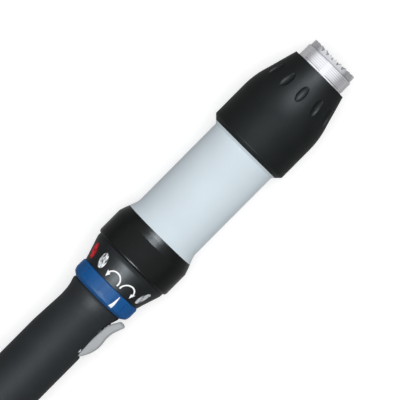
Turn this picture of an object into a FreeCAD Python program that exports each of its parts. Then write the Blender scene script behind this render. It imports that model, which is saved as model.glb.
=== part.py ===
import FreeCAD, Part
import math
import os
import Sketcher

# Handheld nutrunner: a slim electric spindle with a start lever and a direction ring.
# Frame: X runs along the tool and points out of the nose, with its zero on the nose face.
# The start lever lies towards -Y and the arrows of the direction ring face +Z.
# Angles round the tool are counted from the lever towards +Z, in degrees.

Vector = FreeCAD.Vector
Rotation = FreeCAD.Rotation
Placement = FreeCAD.Placement

SIZES = [
    ("fit", 0.05, "radial clearance of a part seated in its bore"),
    ("running_fit", 0.04, "radial clearance of a shaft or bush that turns"),
    ("side_gap", 0.3, "gap beside a part that moves"),
    ("crown_radius", 18.1, "toothed ring at the nose"),
    ("crown_height", 5.0, "ring in front of the nose face"),
    ("crown_tooth_depth", 3.3, "depth of a face tooth"),
    ("crown_teeth", 24, "face teeth round the ring"),
    ("pilot_radius", 14.5, "bore that centres a head on the nose"),
    ("crown_spigot_radius", 16.8, "part of the ring inside the nose"),
    ("crown_spigot_length", 9.0, "depth of that part"),
    ("thread_radius", 19.2, "threaded outside of the nose"),
    ("thread_length", 9.8, "threaded stretch of the nose"),
    ("nose_barrel_radius", 18.8, "nose behind the thread"),
    ("nose_length", 30.0, "nose face to its flange"),
    ("nose_flange_radius", 24.0, "flange that carries the transducer"),
    ("nose_flange_thickness", 4.0, "thickness of that flange"),
    ("nose_slot_depth", 0.8, "flutes across the thread"),
    ("nose_slot_width", 2.4, "width of a flute"),
    ("nose_slots", 6, "flutes round the thread"),
    ("nose_shoulder_bore", 11.5, "shoulder in front of the spindle bearings"),
    ("nose_shoulder_thickness", 4.0, "thickness of that shoulder"),
    ("spindle_radius", 8.5, "spindle in its front bearings"),
    ("spindle_recess", 10.5, "nose face to the spindle's front"),
    ("spindle_shoulder_radius", 11.0, "shoulder behind the front bearings"),
    ("spindle_shoulder_length", 4.0, "length of that shoulder"),
    ("spindle_neck_radius", 7.5, "spindle inside the transducer"),
    ("spindle_tail_radius", 10.0, "spindle in the gearbox bearing"),
    ("spindle_tail_shoulder", 11.5, "shoulder in front of that bearing"),
    ("socket_flats", 10.0, "drive socket across flats"),
    ("socket_depth", 12.0, "depth of the drive socket"),
    ("coupling_flats", 13.0, "hexagon between spindle and carrier"),
    ("front_bearing_radius", 13.0, "outer radius of a front bearing"),
    ("front_bearing_width", 5.0, "width of a front bearing"),
    ("circlip_thickness", 1.2, "retaining ring"),
    ("circlip_bore", 11.8, "inner radius of the retaining ring"),
    ("circlip_bite", 0.8, "ring's reach into its groove"),
    ("cell_flange_thickness", 4.0, "front flange of the transducer"),
    ("cell_tube_radius", 17.0, "measuring tube outside"),
    ("cell_tube_bore", 15.0, "measuring tube inside"),
    ("cell_tube_length", 28.0, "measuring tube between its flanges"),
    ("cell_seat_width", 6.0, "rear flange and width of the gearbox bearing"),
    ("gear_bearing_radius", 16.0, "outer radius of the gearbox bearing"),
    ("gauge_length", 9.0, "strain gauge along the tube"),
    ("gauge_thickness", 0.4, "strain gauge"),
    ("gauge_angle", 26.0, "strain gauge round the tube"),
    ("gauge_count", 4, "strain gauges"),
    ("board_thickness", 1.6, "every circuit board"),
    ("flange_screw_circle", 20.8, "screw circle of the nose flange"),
    ("flange_screws", 6, "screws of the nose flange"),
    ("screw_radius", 1.5, "shank of an M3 screw"),
    ("screw_head_radius", 2.75, "head of an M3 screw"),
    ("screw_head_height", 3.0, "height of that head"),
    ("screw_bite", 2.8, "screw's reach into its thread"),
    ("sleeve_front", 10.0, "nose face to the sleeve's front"),
    ("sleeve_length", 70.3, "length of the sleeve"),
    ("sleeve_radius", 31.0, "sleeve over its parallel part"),
    ("sleeve_nose_radius", 21.9, "sleeve at its front edge"),
    ("sleeve_cone_length", 32.0, "length of the cone to the parallel part"),
    ("sleeve_cone_blend", 60.0, "rounding between cone and parallel part"),
    ("sleeve_rear_chamfer", 3.2, "bevel at the sleeve's rear"),
    ("sleeve_rear_round", 1.2, "rounding of that bevel"),
    ("sleeve_wall", 2.5, "wall of the sleeve"),
    ("sleeve_nose_gap", 0.3, "sleeve round the nose"),
    ("dimples", 12, "finger dimples round the sleeve"),
    ("dimple_station", 27.8, "nose face to the dimples' middle"),
    ("dimple_start", 84.2, "angle of the first dimple"),
    ("dimple_half_length", 6.9, "dimple along the slope"),
    ("dimple_half_width", 3.15, "dimple round the sleeve"),
    ("dimple_half_depth", 1.9, "ball-shaped cutter's depth"),
    ("dimple_rise", 0.4, "cutter's middle above the surface"),
    ("housing_radius", 26.0, "motor housing outside"),
    ("housing_bore", 22.05, "motor housing inside"),
    ("housing_front_spigot", 8.3, "housing inside the sleeve"),
    ("housing_spigot_radius", 27.0, "housing's spigots"),
    ("housing_length", 81.3, "housing seen between sleeve and collar"),
    ("front_flare_radius", 27.8, "housing's front flare"),
    ("front_flare_length", 1.9, "length of the front flare"),
    ("rear_flare_radius", 28.4, "housing's rear flare"),
    ("rear_flare_length", 6.0, "length of the rear flare"),
    ("rear_flare_round", 14.0, "hollow rounding of the rear flare"),
    ("housing_rear_spigot", 8.4, "housing inside the rear collar"),
    ("collar_length", 27.0, "rear collar"),
    ("collar_radius", 31.0, "rear collar's band"),
    ("collar_lip", 3.0, "straight lip in front of the band"),
    ("collar_lip_radius", 29.6, "lip's radius at the band"),
    ("collar_bevel", 4.2, "slope from the lip to the band"),
    ("collar_rear_round", 2.4, "rounding behind the band"),
    ("collar_web", 5.6, "wall at the collar's rear"),
    ("wire_bore", 13.5, "passage through collar and core tube"),
    ("cone_length", 18.9, "indicator cone"),
    ("cone_front_radius", 29.3, "indicator cone at the collar"),
    ("cone_land", 2.4, "straight land at its front"),
    ("cone_foot_radius", 24.9, "foot of the slope"),
    ("cone_foot_length", 3.2, "foot in front of the ring"),
    ("cone_rear_radius", 24.0, "indicator cone at the ring"),
    ("cone_blend", 7.0, "rounding of the cone's edges"),
    ("cone_wall", 2.6, "wall of the indicator cone"),
    ("cone_web", 4.4, "wall at the cone's rear"),
    ("window_station", 10.9, "cone's front to the windows' middle"),
    ("window_half_length", 5.6, "window along the tool"),
    ("window_half_width", 3.15, "window round the tool"),
    ("lens_rise", 0.15, "lens above the cone"),
    ("flange_radius", 26.0, "core tube's flange"),
    ("flange_thickness", 3.0, "core tube's flange"),
    ("journal_radius", 20.4, "core tube under the direction ring"),
    ("ring_length", 12.6, "direction ring"),
    ("ring_radius", 24.9, "direction ring over its ribs"),
    ("ring_front_radius", 23.7, "ring's front edge"),
    ("ring_front_slope", 1.7, "slope at the ring's front"),
    ("ring_rear_radius", 21.0, "ring's rear edge"),
    ("ring_rear_slope", 5.0, "slope at the ring's rear"),
    ("ring_front_bevel", 24.6, "ring's radius at its front bevel"),
    ("ring_shoulder_radius", 23.8, "ring's rear shoulder"),
    ("ring_shoulder_length", 2.1, "ring's end to that shoulder"),
    ("ring_ribs", 14, "ribs round the ring"),
    ("ring_flute_depth", 0.45, "hollow between two ribs"),
    ("ring_flute_angle", 16.6, "hollow round the ring"),
    ("ring_rib_start", 62.0, "angle of the rib with the pointer"),
    ("detent_radius", 1.5, "ball under the ring"),
    ("detent_rise", 0.55, "ball above the journal"),
    ("detent_track", 44.0, "angle of the ball's track in the ring"),
    ("ring_travel", 30.0, "turn of the direction ring"),
    ("core_spigot_length", 8.4, "core tube inside the grip"),
    ("grip_length", 126.4, "grip"),
    ("grip_bore", 16.0, "inside of the grip"),
    ("grip_radius", 20.3, "grip over most of its length"),
    ("grip_front_radius", 21.3, "grip at the ring"),
    ("grip_front_land", 2.0, "straight land at the ring"),
    ("grip_neck_radius", 19.4, "where the flare ends"),
    ("grip_neck_length", 8.0, "ring end to that place"),
    ("grip_waist_radius", 19.0, "slimmest place of the grip"),
    ("grip_waist_length", 15.5, "ring end to the slimmest place"),
    ("grip_swell_length", 40.0, "ring end to the full radius"),
    ("grip_blend", 14.0, "rounding at the neck"),
    ("grip_edge", 0.6, "bevel at the ring"),
    ("slot_half_width", 7.9, "half of the lever slot"),
    ("slot_length", 37.4, "lever slot behind the ring end"),
    ("lever_half_width", 7.5, "half of the start lever"),
    ("lever_round", 1.7, "rounding of the lever's long edges"),
    ("lever_wall", 2.4, "wall over the hollows of the lever"),
    ("lever_cheek", 2.2, "side wall of the lever"),
    ("lever_pin_back", 33.4, "ring end to the lever's pin"),
    ("lever_pin_depth", 16.5, "tool axis to the lever's pin"),
    ("lever_pin_radius", 1.6, "lever's pin"),
    ("lever_pin_half", 10.2, "half of the pin's length"),
    ("plunger_radius", 2.0, "switch plunger"),
    ("plunger_back", 15.6, "ring end to the plunger"),
    ("plunger_top", 17.3, "tool axis to the plunger's tip"),
    ("plunger_length", 8.0, "switch plunger"),
    ("switch_length", 14.0, "trigger switch along the tool"),
    ("switch_half_width", 4.5, "half of the switch across"),
    ("switch_top", 12.8, "tool axis to the switch's top"),
    ("spring_back", 3.2, "ring end to the spring's bend"),
    ("spring_length", 6.6, "spring behind its bend"),
    ("spring_strip", 0.5, "thickness of the spring's strip"),
    ("spring_width", 6.0, "width of the spring's strip"),
    ("spring_top", 20.3, "tool axis to the spring's top"),
    ("main_board_front", 10.0, "ring end to the control board"),
    ("main_board_space", 7.4, "control board to the inlet's nut"),
    ("main_board_half", 15.7, "half of the board across"),
    ("cap_length", 8.0, "cap behind the grip"),
    ("cap_spigot", 6.0, "cap inside the grip"),
    ("cap_bevel", 2.0, "bevel at the cap's rear"),
    ("cap_screws", 4, "screws of the cap"),
    ("cap_screw_circle", 17.8, "screw circle of the cap"),
    ("cap_screw_radius", 1.25, "shank of a cap screw"),
    ("cap_screw_head", 2.2, "head of a cap screw"),
    ("cap_screw_length", 14.0, "length of a cap screw"),
    ("inlet_radius", 11.0, "threaded shell of the cable inlet"),
    ("inlet_bore", 9.5, "inside of that shell"),
    ("inlet_length", 15.0, "shell behind the cap"),
    ("inlet_flange", 13.0, "flange of the shell"),
    ("inlet_flange_thickness", 2.0, "flange of the shell"),
    ("inlet_tail_radius", 9.0, "shell through the cap"),
    ("inlet_tail_bore", 7.6, "inside of the tail"),
    ("inlet_nut_radius", 12.5, "nut inside the grip"),
    ("inlet_nut_thickness", 3.0, "nut inside the grip"),
    ("insert_length", 9.0, "insulating insert"),
    ("insert_recess", 4.0, "shell's end to the insert"),
    ("contact_radius", 0.8, "contact pin"),
    ("contact_circle", 5.6, "circle of the outer pins"),
    ("contacts", 8, "pins on that circle"),
    ("contact_rise", 3.2, "pin behind the insert"),
    ("gear_module", 1.0, "tooth size"),
    ("sun_teeth", 12, "teeth of a sun gear"),
    ("planet_teeth", 12, "teeth of a planet gear"),
    ("ring_teeth", 36, "teeth of the ring gear"),
    ("pressure_angle", 25.0, "pressure angle"),
    ("backlash", 0.12, "play between two teeth"),
    ("tip_height", 0.9, "tooth above the pitch circle, in modules"),
    ("root_depth", 1.15, "tooth below the pitch circle, in modules"),
    ("ring_gear_length", 36.0, "ring gear"),
    ("planets", 3, "planets in a stage"),
    ("carrier_radius", 16.0, "planet carriers"),
    ("slow_plate", 5.0, "front plate of the slow carrier"),
    ("slow_rear_plate", 3.0, "rear plate of the slow carrier"),
    ("slow_face", 9.0, "width of a slow planet"),
    ("fast_plate", 3.5, "plate of the fast carrier"),
    ("fast_face", 7.0, "width of a fast planet"),
    ("stage_gap", 0.5, "gap between parts of the gear train"),
    ("planet_pin_radius", 2.5, "pins under the planets"),
    ("pin_head_radius", 3.5, "head of a fast planet's pin"),
    ("pin_head_height", 0.8, "height of that head"),
    ("post_radius", 2.3, "posts of the slow carrier"),
    ("post_circle", 13.4, "circle of the posts"),
    ("sun_stub_radius", 4.0, "stub of the slow sun in its carrier"),
    ("shield_length", 7.0, "motor end shields"),
    ("motor_bearing_radius", 11.0, "outer radius of a motor bearing"),
    ("motor_bearing_width", 6.0, "width of a motor bearing"),
    ("shaft_radius", 4.0, "motor shaft"),
    ("pinion_stub_radius", 3.0, "motor shaft inside the fast sun"),
    ("coil_head", 5.0, "winding in front of and behind the core"),
    ("coil_gap", 2.0, "winding to the front shield"),
    ("sensor_space", 10.0, "collar's wall to the sensor board"),
    ("stator_bore", 11.6, "inside of the stator"),
    ("stator_slots", 9, "slots of the stator"),
    ("slot_floor", 19.0, "outer end of a stator slot"),
    ("slot_mouth", 13.0, "inner end of a stator slot"),
    ("slot_angle", 24.0, "angle of a stator slot"),
    ("rotor_radius", 8.5, "rotor core"),
    ("magnet_radius", 11.0, "magnets on the rotor"),
    ("magnet_count", 4, "magnets"),
    ("magnet_angle", 80.0, "angle of a magnet"),
    ("rear_shield_gap", 1.0, "winding to the rear shield"),
    ("encoder_radius", 13.0, "encoder disc"),
    ("encoder_hub_radius", 6.0, "hub of the encoder disc"),
    ("encoder_hub_length", 3.0, "hub of the encoder disc"),
    ("encoder_disc", 1.0, "thickness of the encoder disc"),
    ("encoder_gap", 2.4, "encoder disc to its board"),
    ("light_board_bore", 20.6, "ring board of the lamps"),
    ("light_board_radius", 25.4, "ring board of the lamps"),
    ("light_circle", 23.0, "circle of the lamps"),
    ("light_height", 2.6, "lamp on its board"),
    ("light_half", 1.3, "half of a lamp across"),
    ("web_screw_circle", 17.4, "screws between collar and core tube"),
    ("web_screws", 4, "screws between collar and core tube"),
    ("wire_radius", 1.2, "leads of the motor"),
    ("wire_spread", 5.0, "distance between two leads"),
    ("lead_overlap", 6.0, "end of a lead on the control board"),
    ("capacitor_radius", 4.0, "capacitor on the control board"),
    ("capacitor_length", 11.0, "capacitor on the control board"),
    ("capacitor_start", 34.0, "board's front to the first capacitor"),
    ("capacitor_pitch", 9.0, "distance between two capacitors"),
    ("power_stage_start", 20.0, "board's front to the power stage"),
    ("power_stage_length", 14.0, "power stage"),
    ("power_stage_half", 9.0, "half of the power stage across"),
    ("power_stage_height", 4.0, "power stage"),
    ("driver_start", 39.0, "board's front to the gate driver"),
    ("driver_length", 9.0, "gate driver"),
    ("driver_half", 10.0, "half of the gate driver across"),
    ("driver_height", 2.0, "gate driver"),
    ("processor_start", 29.0, "board's rear to the processor's front"),
    ("processor_length", 10.0, "processor"),
    ("processor_half", 8.0, "half of the processor across"),
    ("processor_height", 2.4, "processor"),
    ("plug_start", 14.0, "board's rear to the plug's front"),
    ("plug_length", 10.0, "plug of the inlet's leads"),
    ("plug_half", 11.0, "half of the plug across"),
    ("plug_height", 8.0, "plug of the inlet's leads"),
]

CLEAR_WINDOWS = (30.0, 120.0, -30.0, -120.0)
RED_WINDOWS = (150.0, -150.0)
CAPACITORS = 3


class Size:
    """A length and the sheet formula that gives it."""

    def __init__(self, value, text):
        self.value = float(value)
        self.text = text

    def __add__(self, other):
        other = size(other)
        return Size(self.value + other.value, f"({self.text} + {other.text})")

    def __sub__(self, other):
        other = size(other)
        return Size(self.value - other.value, f"({self.text} - {other.text})")

    def __mul__(self, factor):
        factor = size(factor)
        return Size(self.value * factor.value, f"({self.text} * {factor.text})")

    def __truediv__(self, divisor):
        divisor = size(divisor)
        return Size(self.value / divisor.value, f"({self.text} / {divisor.text})")

    def __neg__(self):
        return Size(-self.value, f"(0 - {self.text})")


def size(value):
    """Turn a plain number into a Size."""
    return value if isinstance(value, Size) else Size(value, f"{value:.9f}")


ZERO = Size(0.0, "0")


class Sheet:
    """The driving dimensions, read as attributes that are Sizes."""

    def __init__(self, doc, rows):
        self.cells = doc.addObject("Spreadsheet::Sheet", "Sizes")
        for row, (alias, value, meaning) in enumerate(rows, start=1):
            self.cells.set(f"A{row}", alias)
            self.cells.set(f"B{row}", str(value))
            self.cells.set(f"C{row}", meaning)
            self.cells.setAlias(f"B{row}", alias)
        doc.recompute()

    def __getattr__(self, alias):
        return Size(self.cells.get(alias), f"Sizes.{alias}")


doc = FreeCAD.newDocument("Nutrunner")
s = Sheet(doc, SIZES)


# Building blocks

def new_body(label):
    """Start a sub-part."""
    body = doc.addObject("PartDesign::Body", label)
    body.Label = label
    return body


def origin_item(body, role):
    """Find a plane or axis of the body's own origin."""
    return next(item for item in body.Origin.OriginFeatures if item.Role == role)


def sketch_on(body, plane, offset=ZERO, turn=0.0):
    """Make a sketch on an origin plane, moved along its normal and turned about its first axis."""
    sketch = body.newObject("Sketcher::SketchObject", f"{body.Label}_sketch")
    sketch.AttachmentSupport = [(origin_item(body, plane), "")]
    sketch.MapMode = "FlatFace"
    sketch.AttachmentOffset = Placement(Vector(0, 0, offset.value), Rotation(Vector(1, 0, 0), turn))
    if offset.value:
        sketch.setExpression("AttachmentOffset.Base.z", offset.text)
    return sketch


def bind_point(sketch, geometry, end, x, y):
    """Tie one point of a sketch to its two sizes."""
    for kind, axis, value in (("DistanceX", -2, x), ("DistanceY", -1, y)):
        if abs(value.value) < 1e-9:
            sketch.addConstraint(Sketcher.Constraint("PointOnObject", geometry, end, axis))
            continue
        index = sketch.addConstraint(Sketcher.Constraint(kind, -1, 1, geometry, end, value.value))
        sketch.setExpression(f"Constraints[{index}]", value.text)


def draw_polygon(sketch, points):
    """Draw a closed outline with every corner tied to its sizes."""
    points = [(size(x), size(y)) for x, y in points]
    first = sketch.GeometryCount
    count = len(points)
    for i in range(count):
        a, b = points[i], points[(i + 1) % count]
        line = Part.LineSegment(Vector(a[0].value, a[1].value, 0), Vector(b[0].value, b[1].value, 0))
        sketch.addGeometry(line)
    for i in range(count):
        following = first + (i + 1) % count
        sketch.addConstraint(Sketcher.Constraint("Coincident", first + i, 2, following, 1))
    for i in range(count):
        bind_point(sketch, first + i, 1, *points[i])


def draw_circle(sketch, x, y, radius):
    """Draw a circle with its centre and radius tied to their sizes."""
    x, y = size(x), size(y)
    index = sketch.addGeometry(Part.Circle(Vector(x.value, y.value, 0), Vector(0, 0, 1), radius.value))
    bind_point(sketch, index, 3, x, y)
    rule = sketch.addConstraint(Sketcher.Constraint("Radius", index, radius.value))
    sketch.setExpression(f"Constraints[{rule}]", radius.text)


def draw_hexagon(sketch, flats):
    """Draw a hexagon about the tool axis, given its width across flats."""
    corner = flats / math.sqrt(3)
    turns = [math.radians(60 * i) for i in range(6)]
    draw_polygon(sketch, [(corner * math.cos(turn), corner * math.sin(turn)) for turn in turns])


def add_feature(body, kind, sketch, name):
    """Add a sketch-based feature to a body."""
    feature = body.newObject(f"PartDesign::{kind}", f"{body.Label}_{name}")
    feature.Profile = sketch
    sketch.Visibility = False
    return feature


def turn_profile(body, points, name="turned", kind="Revolution", angle=360.0):
    """Revolve an outline of stations and radii about the tool axis."""
    sketch = sketch_on(body, "XZ_Plane")
    draw_polygon(sketch, points)
    feature = add_feature(body, kind, sketch, name)
    feature.ReferenceAxis = (sketch, ["H_Axis"])
    feature.Angle = angle
    feature.Midplane = angle < 360.0
    return feature


def cut_profile(body, points, name="groove", angle=360.0):
    """Cut an outline of stations and radii, revolved about the tool axis."""
    return turn_profile(body, points, name, "Groove", angle)


def extrude(body, sketch, length, name="pad", kind="Pad", reverse=False, both=False):
    """Pad or pocket a sketch by a length."""
    feature = add_feature(body, kind, sketch, name)
    feature.SideType = "Symmetric" if both else "One side"
    feature.Reversed = reverse
    feature.Length = length.value
    feature.setExpression("Length", length.text)
    return feature


def ring_pattern(body, features, count, name="pattern"):
    """Repeat features evenly about the tool axis."""
    pattern = body.newObject("PartDesign::PolarPattern", f"{body.Label}_{name}")
    pattern.Originals = features
    pattern.Axis = (origin_item(body, "X_Axis"), [""])
    pattern.Angle = 360.0
    pattern.Occurrences = int(count.value)
    pattern.setExpression("Occurrences", count.text)
    body.Tip = pattern
    return pattern


def on_circle(count, radius, start=0.0):
    """Give evenly spaced places round the tool axis."""
    turns = [math.radians(start + 360.0 * i / count) for i in range(count)]
    return [(radius * math.cos(turn), radius * math.sin(turn)) for turn in turns]


def rods(body, places, radius, rear, length, name="rods", kind="Pad"):
    """Add or cut round rods that run forward from a station."""
    sketch = sketch_on(body, "YZ_Plane", rear)
    for y, z in places:
        draw_circle(sketch, y, z, radius)
    return extrude(body, sketch, length, name, kind, reverse=kind == "Pocket")


def round_edges(body, wanted, radius, name="rounding", kind="Fillet"):
    """Round or bevel the edges that a test picks."""
    doc.recompute()
    edges = [f"Edge{i}" for i, edge in enumerate(body.Shape.Edges, start=1) if wanted(edge)]
    if not edges:
        raise RuntimeError(f"{body.Label}: no edge found for {name}")
    base = body.Tip
    feature = body.newObject(f"PartDesign::{kind}", f"{body.Label}_{name}")
    feature.Base = (base, edges)
    sheet_property = "Radius" if kind == "Fillet" else "Size"
    setattr(feature, sheet_property, radius.value)
    feature.setExpression(sheet_property, radius.text)
    return feature


def hoop(station, radius):
    """Make a test for the round edge at a station and a radius."""
    def wanted(edge):
        curve = edge.Curve
        if not isinstance(curve, Part.Circle) or abs(abs(curve.Axis.x) - 1) > 1e-6:
            return False
        return abs(curve.Center.x - station.value) < 0.01 and abs(curve.Radius - radius.value) < 0.01
    return wanted


def upright(x, y):
    """Make a test for the edge along Z at a place."""
    def wanted(edge):
        box = edge.BoundBox
        flat = box.XLength < 0.01 and box.YLength < 0.01
        return flat and abs(box.XMin - x.value) < 0.01 and abs(box.YMin - y.value) < 0.01
    return wanted


# Stations along the tool, from the nose to the rear

sleeve_rear = -(s.sleeve_front + s.sleeve_length)
housing_front = sleeve_rear + s.housing_front_spigot
collar_front = sleeve_rear - s.housing_length
housing_rear = collar_front - s.housing_rear_spigot
collar_rear = collar_front - s.collar_length
web_front = collar_rear + s.collar_web
cone_rear = collar_rear - s.cone_length
flange_rear = collar_rear - s.flange_thickness
ring_front = cone_rear - s.side_gap
ring_rear = ring_front - s.ring_length
grip_front = ring_rear - s.side_gap
grip_rear = grip_front - s.grip_length
cap_rear = grip_rear - s.cap_length
inlet_rear = cap_rear - s.inlet_length
inlet_tail_front = grip_rear + s.cap_spigot + s.inlet_nut_thickness
main_board_front = grip_front - s.main_board_front
main_board_rear = inlet_tail_front + s.main_board_space
nose_rear = -(s.nose_length + s.nose_flange_thickness)
cell_tube_front = nose_rear - s.cell_flange_thickness
cell_tube_rear = cell_tube_front - s.cell_tube_length
cell_rear = cell_tube_rear - s.cell_seat_width
gear_front = cell_rear
gear_rear = gear_front - s.ring_gear_length

# Nose: toothed ring, threaded nose and spindle bearings


def make_crown_ring():
    """Toothed ring that locks a head to the nose."""
    body = new_body("crown_ring")
    turn_profile(body, [
        (-s.crown_spigot_length, s.pilot_radius),
        (s.crown_height, s.pilot_radius),
        (s.crown_height, s.crown_radius),
        (ZERO, s.crown_radius),
        (ZERO, s.crown_spigot_radius),
        (-s.crown_spigot_length, s.crown_spigot_radius),
    ])
    half_pitch = s.crown_radius * math.tan(math.pi / s.crown_teeth.value)
    rise = s.crown_height * 0.2
    sketch = sketch_on(body, "XY_Plane")
    slope = rise / s.crown_tooth_depth
    draw_polygon(sketch, [
        (s.crown_height - s.crown_tooth_depth, ZERO),
        (s.crown_height + rise, half_pitch * (slope + 1)),
        (s.crown_height + rise, -(half_pitch * (slope + 1))),
    ])
    tooth_gap = extrude(body, sketch, s.crown_radius * 1.2, "tooth_gap", "Pocket", reverse=True)
    ring_pattern(body, [tooth_gap], s.crown_teeth, "teeth")
    return body


bearing_rear = nose_rear + 1.0 + s.circlip_thickness
bearing_seat = s.front_bearing_radius + s.fit
nose_shoulder = -(s.crown_spigot_length + s.nose_shoulder_thickness)


def make_nose_collar():
    """Threaded nose with the bearing seat and the flange."""
    body = new_body("nose_collar")
    crown_seat = s.crown_spigot_radius + s.fit
    turn_profile(body, [
        (ZERO, crown_seat),
        (ZERO, s.thread_radius),
        (-s.thread_length, s.thread_radius),
        (-s.thread_length, s.nose_barrel_radius),
        (-s.nose_length, s.nose_barrel_radius),
        (-s.nose_length, s.nose_flange_radius),
        (nose_rear, s.nose_flange_radius),
        (nose_rear, bearing_seat),
        (nose_shoulder, bearing_seat),
        (nose_shoulder, s.nose_shoulder_bore),
        (-s.crown_spigot_length, s.nose_shoulder_bore),
        (-s.crown_spigot_length, crown_seat),
    ])
    groove = bearing_seat + s.circlip_bite
    cut_profile(body, [
        (bearing_rear, bearing_seat - 0.5),
        (bearing_rear, groove),
        (bearing_rear - s.circlip_thickness, groove),
        (bearing_rear - s.circlip_thickness, bearing_seat - 0.5),
    ], "circlip_groove")
    sketch = sketch_on(body, "XY_Plane", s.thread_radius - s.nose_slot_depth)
    draw_polygon(sketch, [
        (s.crown_height, s.nose_slot_width / 2),
        (-s.thread_length, s.nose_slot_width / 2),
        (-s.thread_length, -(s.nose_slot_width / 2)),
        (s.crown_height, -(s.nose_slot_width / 2)),
    ])
    flute = extrude(body, sketch, s.nose_slot_depth * 3, "flute", "Pocket", reverse=True)
    ring_pattern(body, [flute], s.nose_slots, "flutes")
    screw_seats(body, "Pocket", s.screw_radius + s.fit, nose_rear, s.screw_bite + s.fit)
    return body


def screw_seats(body, kind, radius, rear, length, name="screw_holes"):
    """Add or cut the screws of the nose flange."""
    places = on_circle(int(s.flange_screws.value), s.flange_screw_circle, 30.0)
    return rods(body, places, radius, rear, length, name, kind)


def make_nose_flange_screws():
    """Six screws that hold the transducer to the nose."""
    body = new_body("nose_flange_screws")
    shank = s.cell_flange_thickness + s.screw_bite
    screw_seats(body, "Pad", s.screw_radius, cell_tube_front, shank, "shanks")
    head_rear = cell_tube_front - s.screw_head_height
    screw_seats(body, "Pad", s.screw_head_radius, head_rear, s.screw_head_height, "heads")
    return body


def bearing_profile(body, bore, outside, front, width, name):
    """Turn a shielded ball bearing with its two rings and the shield between them."""
    recess = width * 0.06
    lip = (outside - bore) * 0.24
    turn_profile(body, [
        (front, bore),
        (front, bore + lip),
        (front - recess, bore + lip),
        (front - recess, outside - lip),
        (front, outside - lip),
        (front, outside),
        (front - width, outside),
        (front - width, outside - lip),
        (front - width + recess, outside - lip),
        (front - width + recess, bore + lip),
        (front - width, bore + lip),
        (front - width, bore),
    ], name)


def make_spindle_bearings():
    """Pair of ball bearings that guide the output spindle."""
    body = new_body("spindle_bearings")
    bore = s.spindle_radius + s.running_fit
    width = s.front_bearing_width
    bearing_profile(body, bore, s.front_bearing_radius, nose_shoulder, width, "front")
    bearing_profile(body, bore, s.front_bearing_radius, bearing_rear + width, width, "rear")
    return body


def make_spindle_circlip():
    """Retaining ring behind the spindle bearings."""
    body = new_body("spindle_circlip")
    outside = bearing_seat + s.circlip_bite - s.fit
    turn_profile(body, [
        (bearing_rear, s.circlip_bore),
        (bearing_rear, outside),
        (bearing_rear - s.circlip_thickness, outside),
        (bearing_rear - s.circlip_thickness, s.circlip_bore),
    ])
    return body


def make_output_spindle():
    """Spindle from the drive socket to the slow planet carrier."""
    body = new_body("output_spindle")
    shoulder_front = bearing_rear - s.side_gap
    shoulder_rear = shoulder_front - s.spindle_shoulder_length
    tail_front = cell_tube_rear + s.side_gap
    tail_rear = cell_rear - s.side_gap
    turn_profile(body, [
        (-s.spindle_recess, ZERO),
        (-s.spindle_recess, s.spindle_radius),
        (shoulder_front, s.spindle_radius),
        (shoulder_front, s.spindle_shoulder_radius),
        (shoulder_rear, s.spindle_shoulder_radius),
        (shoulder_rear, s.spindle_neck_radius),
        (tail_front + 1.5, s.spindle_neck_radius),
        (tail_front + 1.5, s.spindle_tail_shoulder),
        (tail_front, s.spindle_tail_shoulder),
        (tail_front, s.spindle_tail_radius),
        (tail_rear, s.spindle_tail_radius),
        (tail_rear, ZERO),
    ])
    hexagon = sketch_on(body, "YZ_Plane", slow_plate_rear)
    draw_hexagon(hexagon, s.coupling_flats)
    extrude(body, hexagon, tail_rear - slow_plate_rear, "coupling")
    socket = sketch_on(body, "YZ_Plane", -(s.spindle_recess + s.socket_depth))
    draw_hexagon(socket, s.socket_flats)
    extrude(body, socket, s.socket_depth, "drive_socket", "Pocket", reverse=True)
    return body


# Torque transducer


def make_torque_transducer():
    """Measuring tube between the nose flange and the ring gear."""
    body = new_body("torque_transducer")
    seat = s.gear_bearing_radius + s.fit
    rear_flange = s.housing_bore - s.fit
    turn_profile(body, [
        (nose_rear, s.cell_tube_bore),
        (nose_rear, s.nose_flange_radius),
        (cell_tube_front, s.nose_flange_radius),
        (cell_tube_front, s.cell_tube_radius),
        (cell_tube_rear, s.cell_tube_radius),
        (cell_tube_rear, rear_flange),
        (cell_rear, rear_flange),
        (cell_rear, seat),
        (cell_tube_rear, seat),
        (cell_tube_rear, s.cell_tube_bore),
    ])
    through = s.cell_flange_thickness
    screw_seats(body, "Pocket", s.screw_radius + s.fit, cell_tube_front, through)
    return body


def make_strain_gauges():
    """Four strain gauges bonded round the measuring tube."""
    body = new_body("strain_gauges")
    middle = (cell_tube_front + cell_tube_rear) / 2 + s.gauge_length / 2
    inside = s.cell_tube_radius + 0.02
    patch = turn_profile(body, [
        (middle, inside),
        (middle, inside + s.gauge_thickness),
        (middle - s.gauge_length, inside + s.gauge_thickness),
        (middle - s.gauge_length, inside),
    ], "patch", angle=s.gauge_angle.value)
    ring_pattern(body, [patch], s.gauge_count, "patches")
    return body


def ring_board(label, front, bore, outside):
    """Make a ring-shaped circuit board."""
    body = new_body(label)
    turn_profile(body, [
        (front, bore),
        (front, outside),
        (front - s.board_thickness, outside),
        (front - s.board_thickness, bore),
    ])
    return body


def make_transducer_board():
    """Amplifier board on the rear flange of the transducer."""
    front = cell_tube_rear + s.board_thickness
    return ring_board("transducer_board", front, s.cell_tube_radius + s.fit, s.nose_flange_radius)


# Sleeve, housing and rear collar


def sleeve_slope():
    """Give the rise of the sleeve's cone per millimetre towards the rear."""
    return (s.sleeve_radius - s.sleeve_nose_radius) / s.sleeve_cone_length


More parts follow.
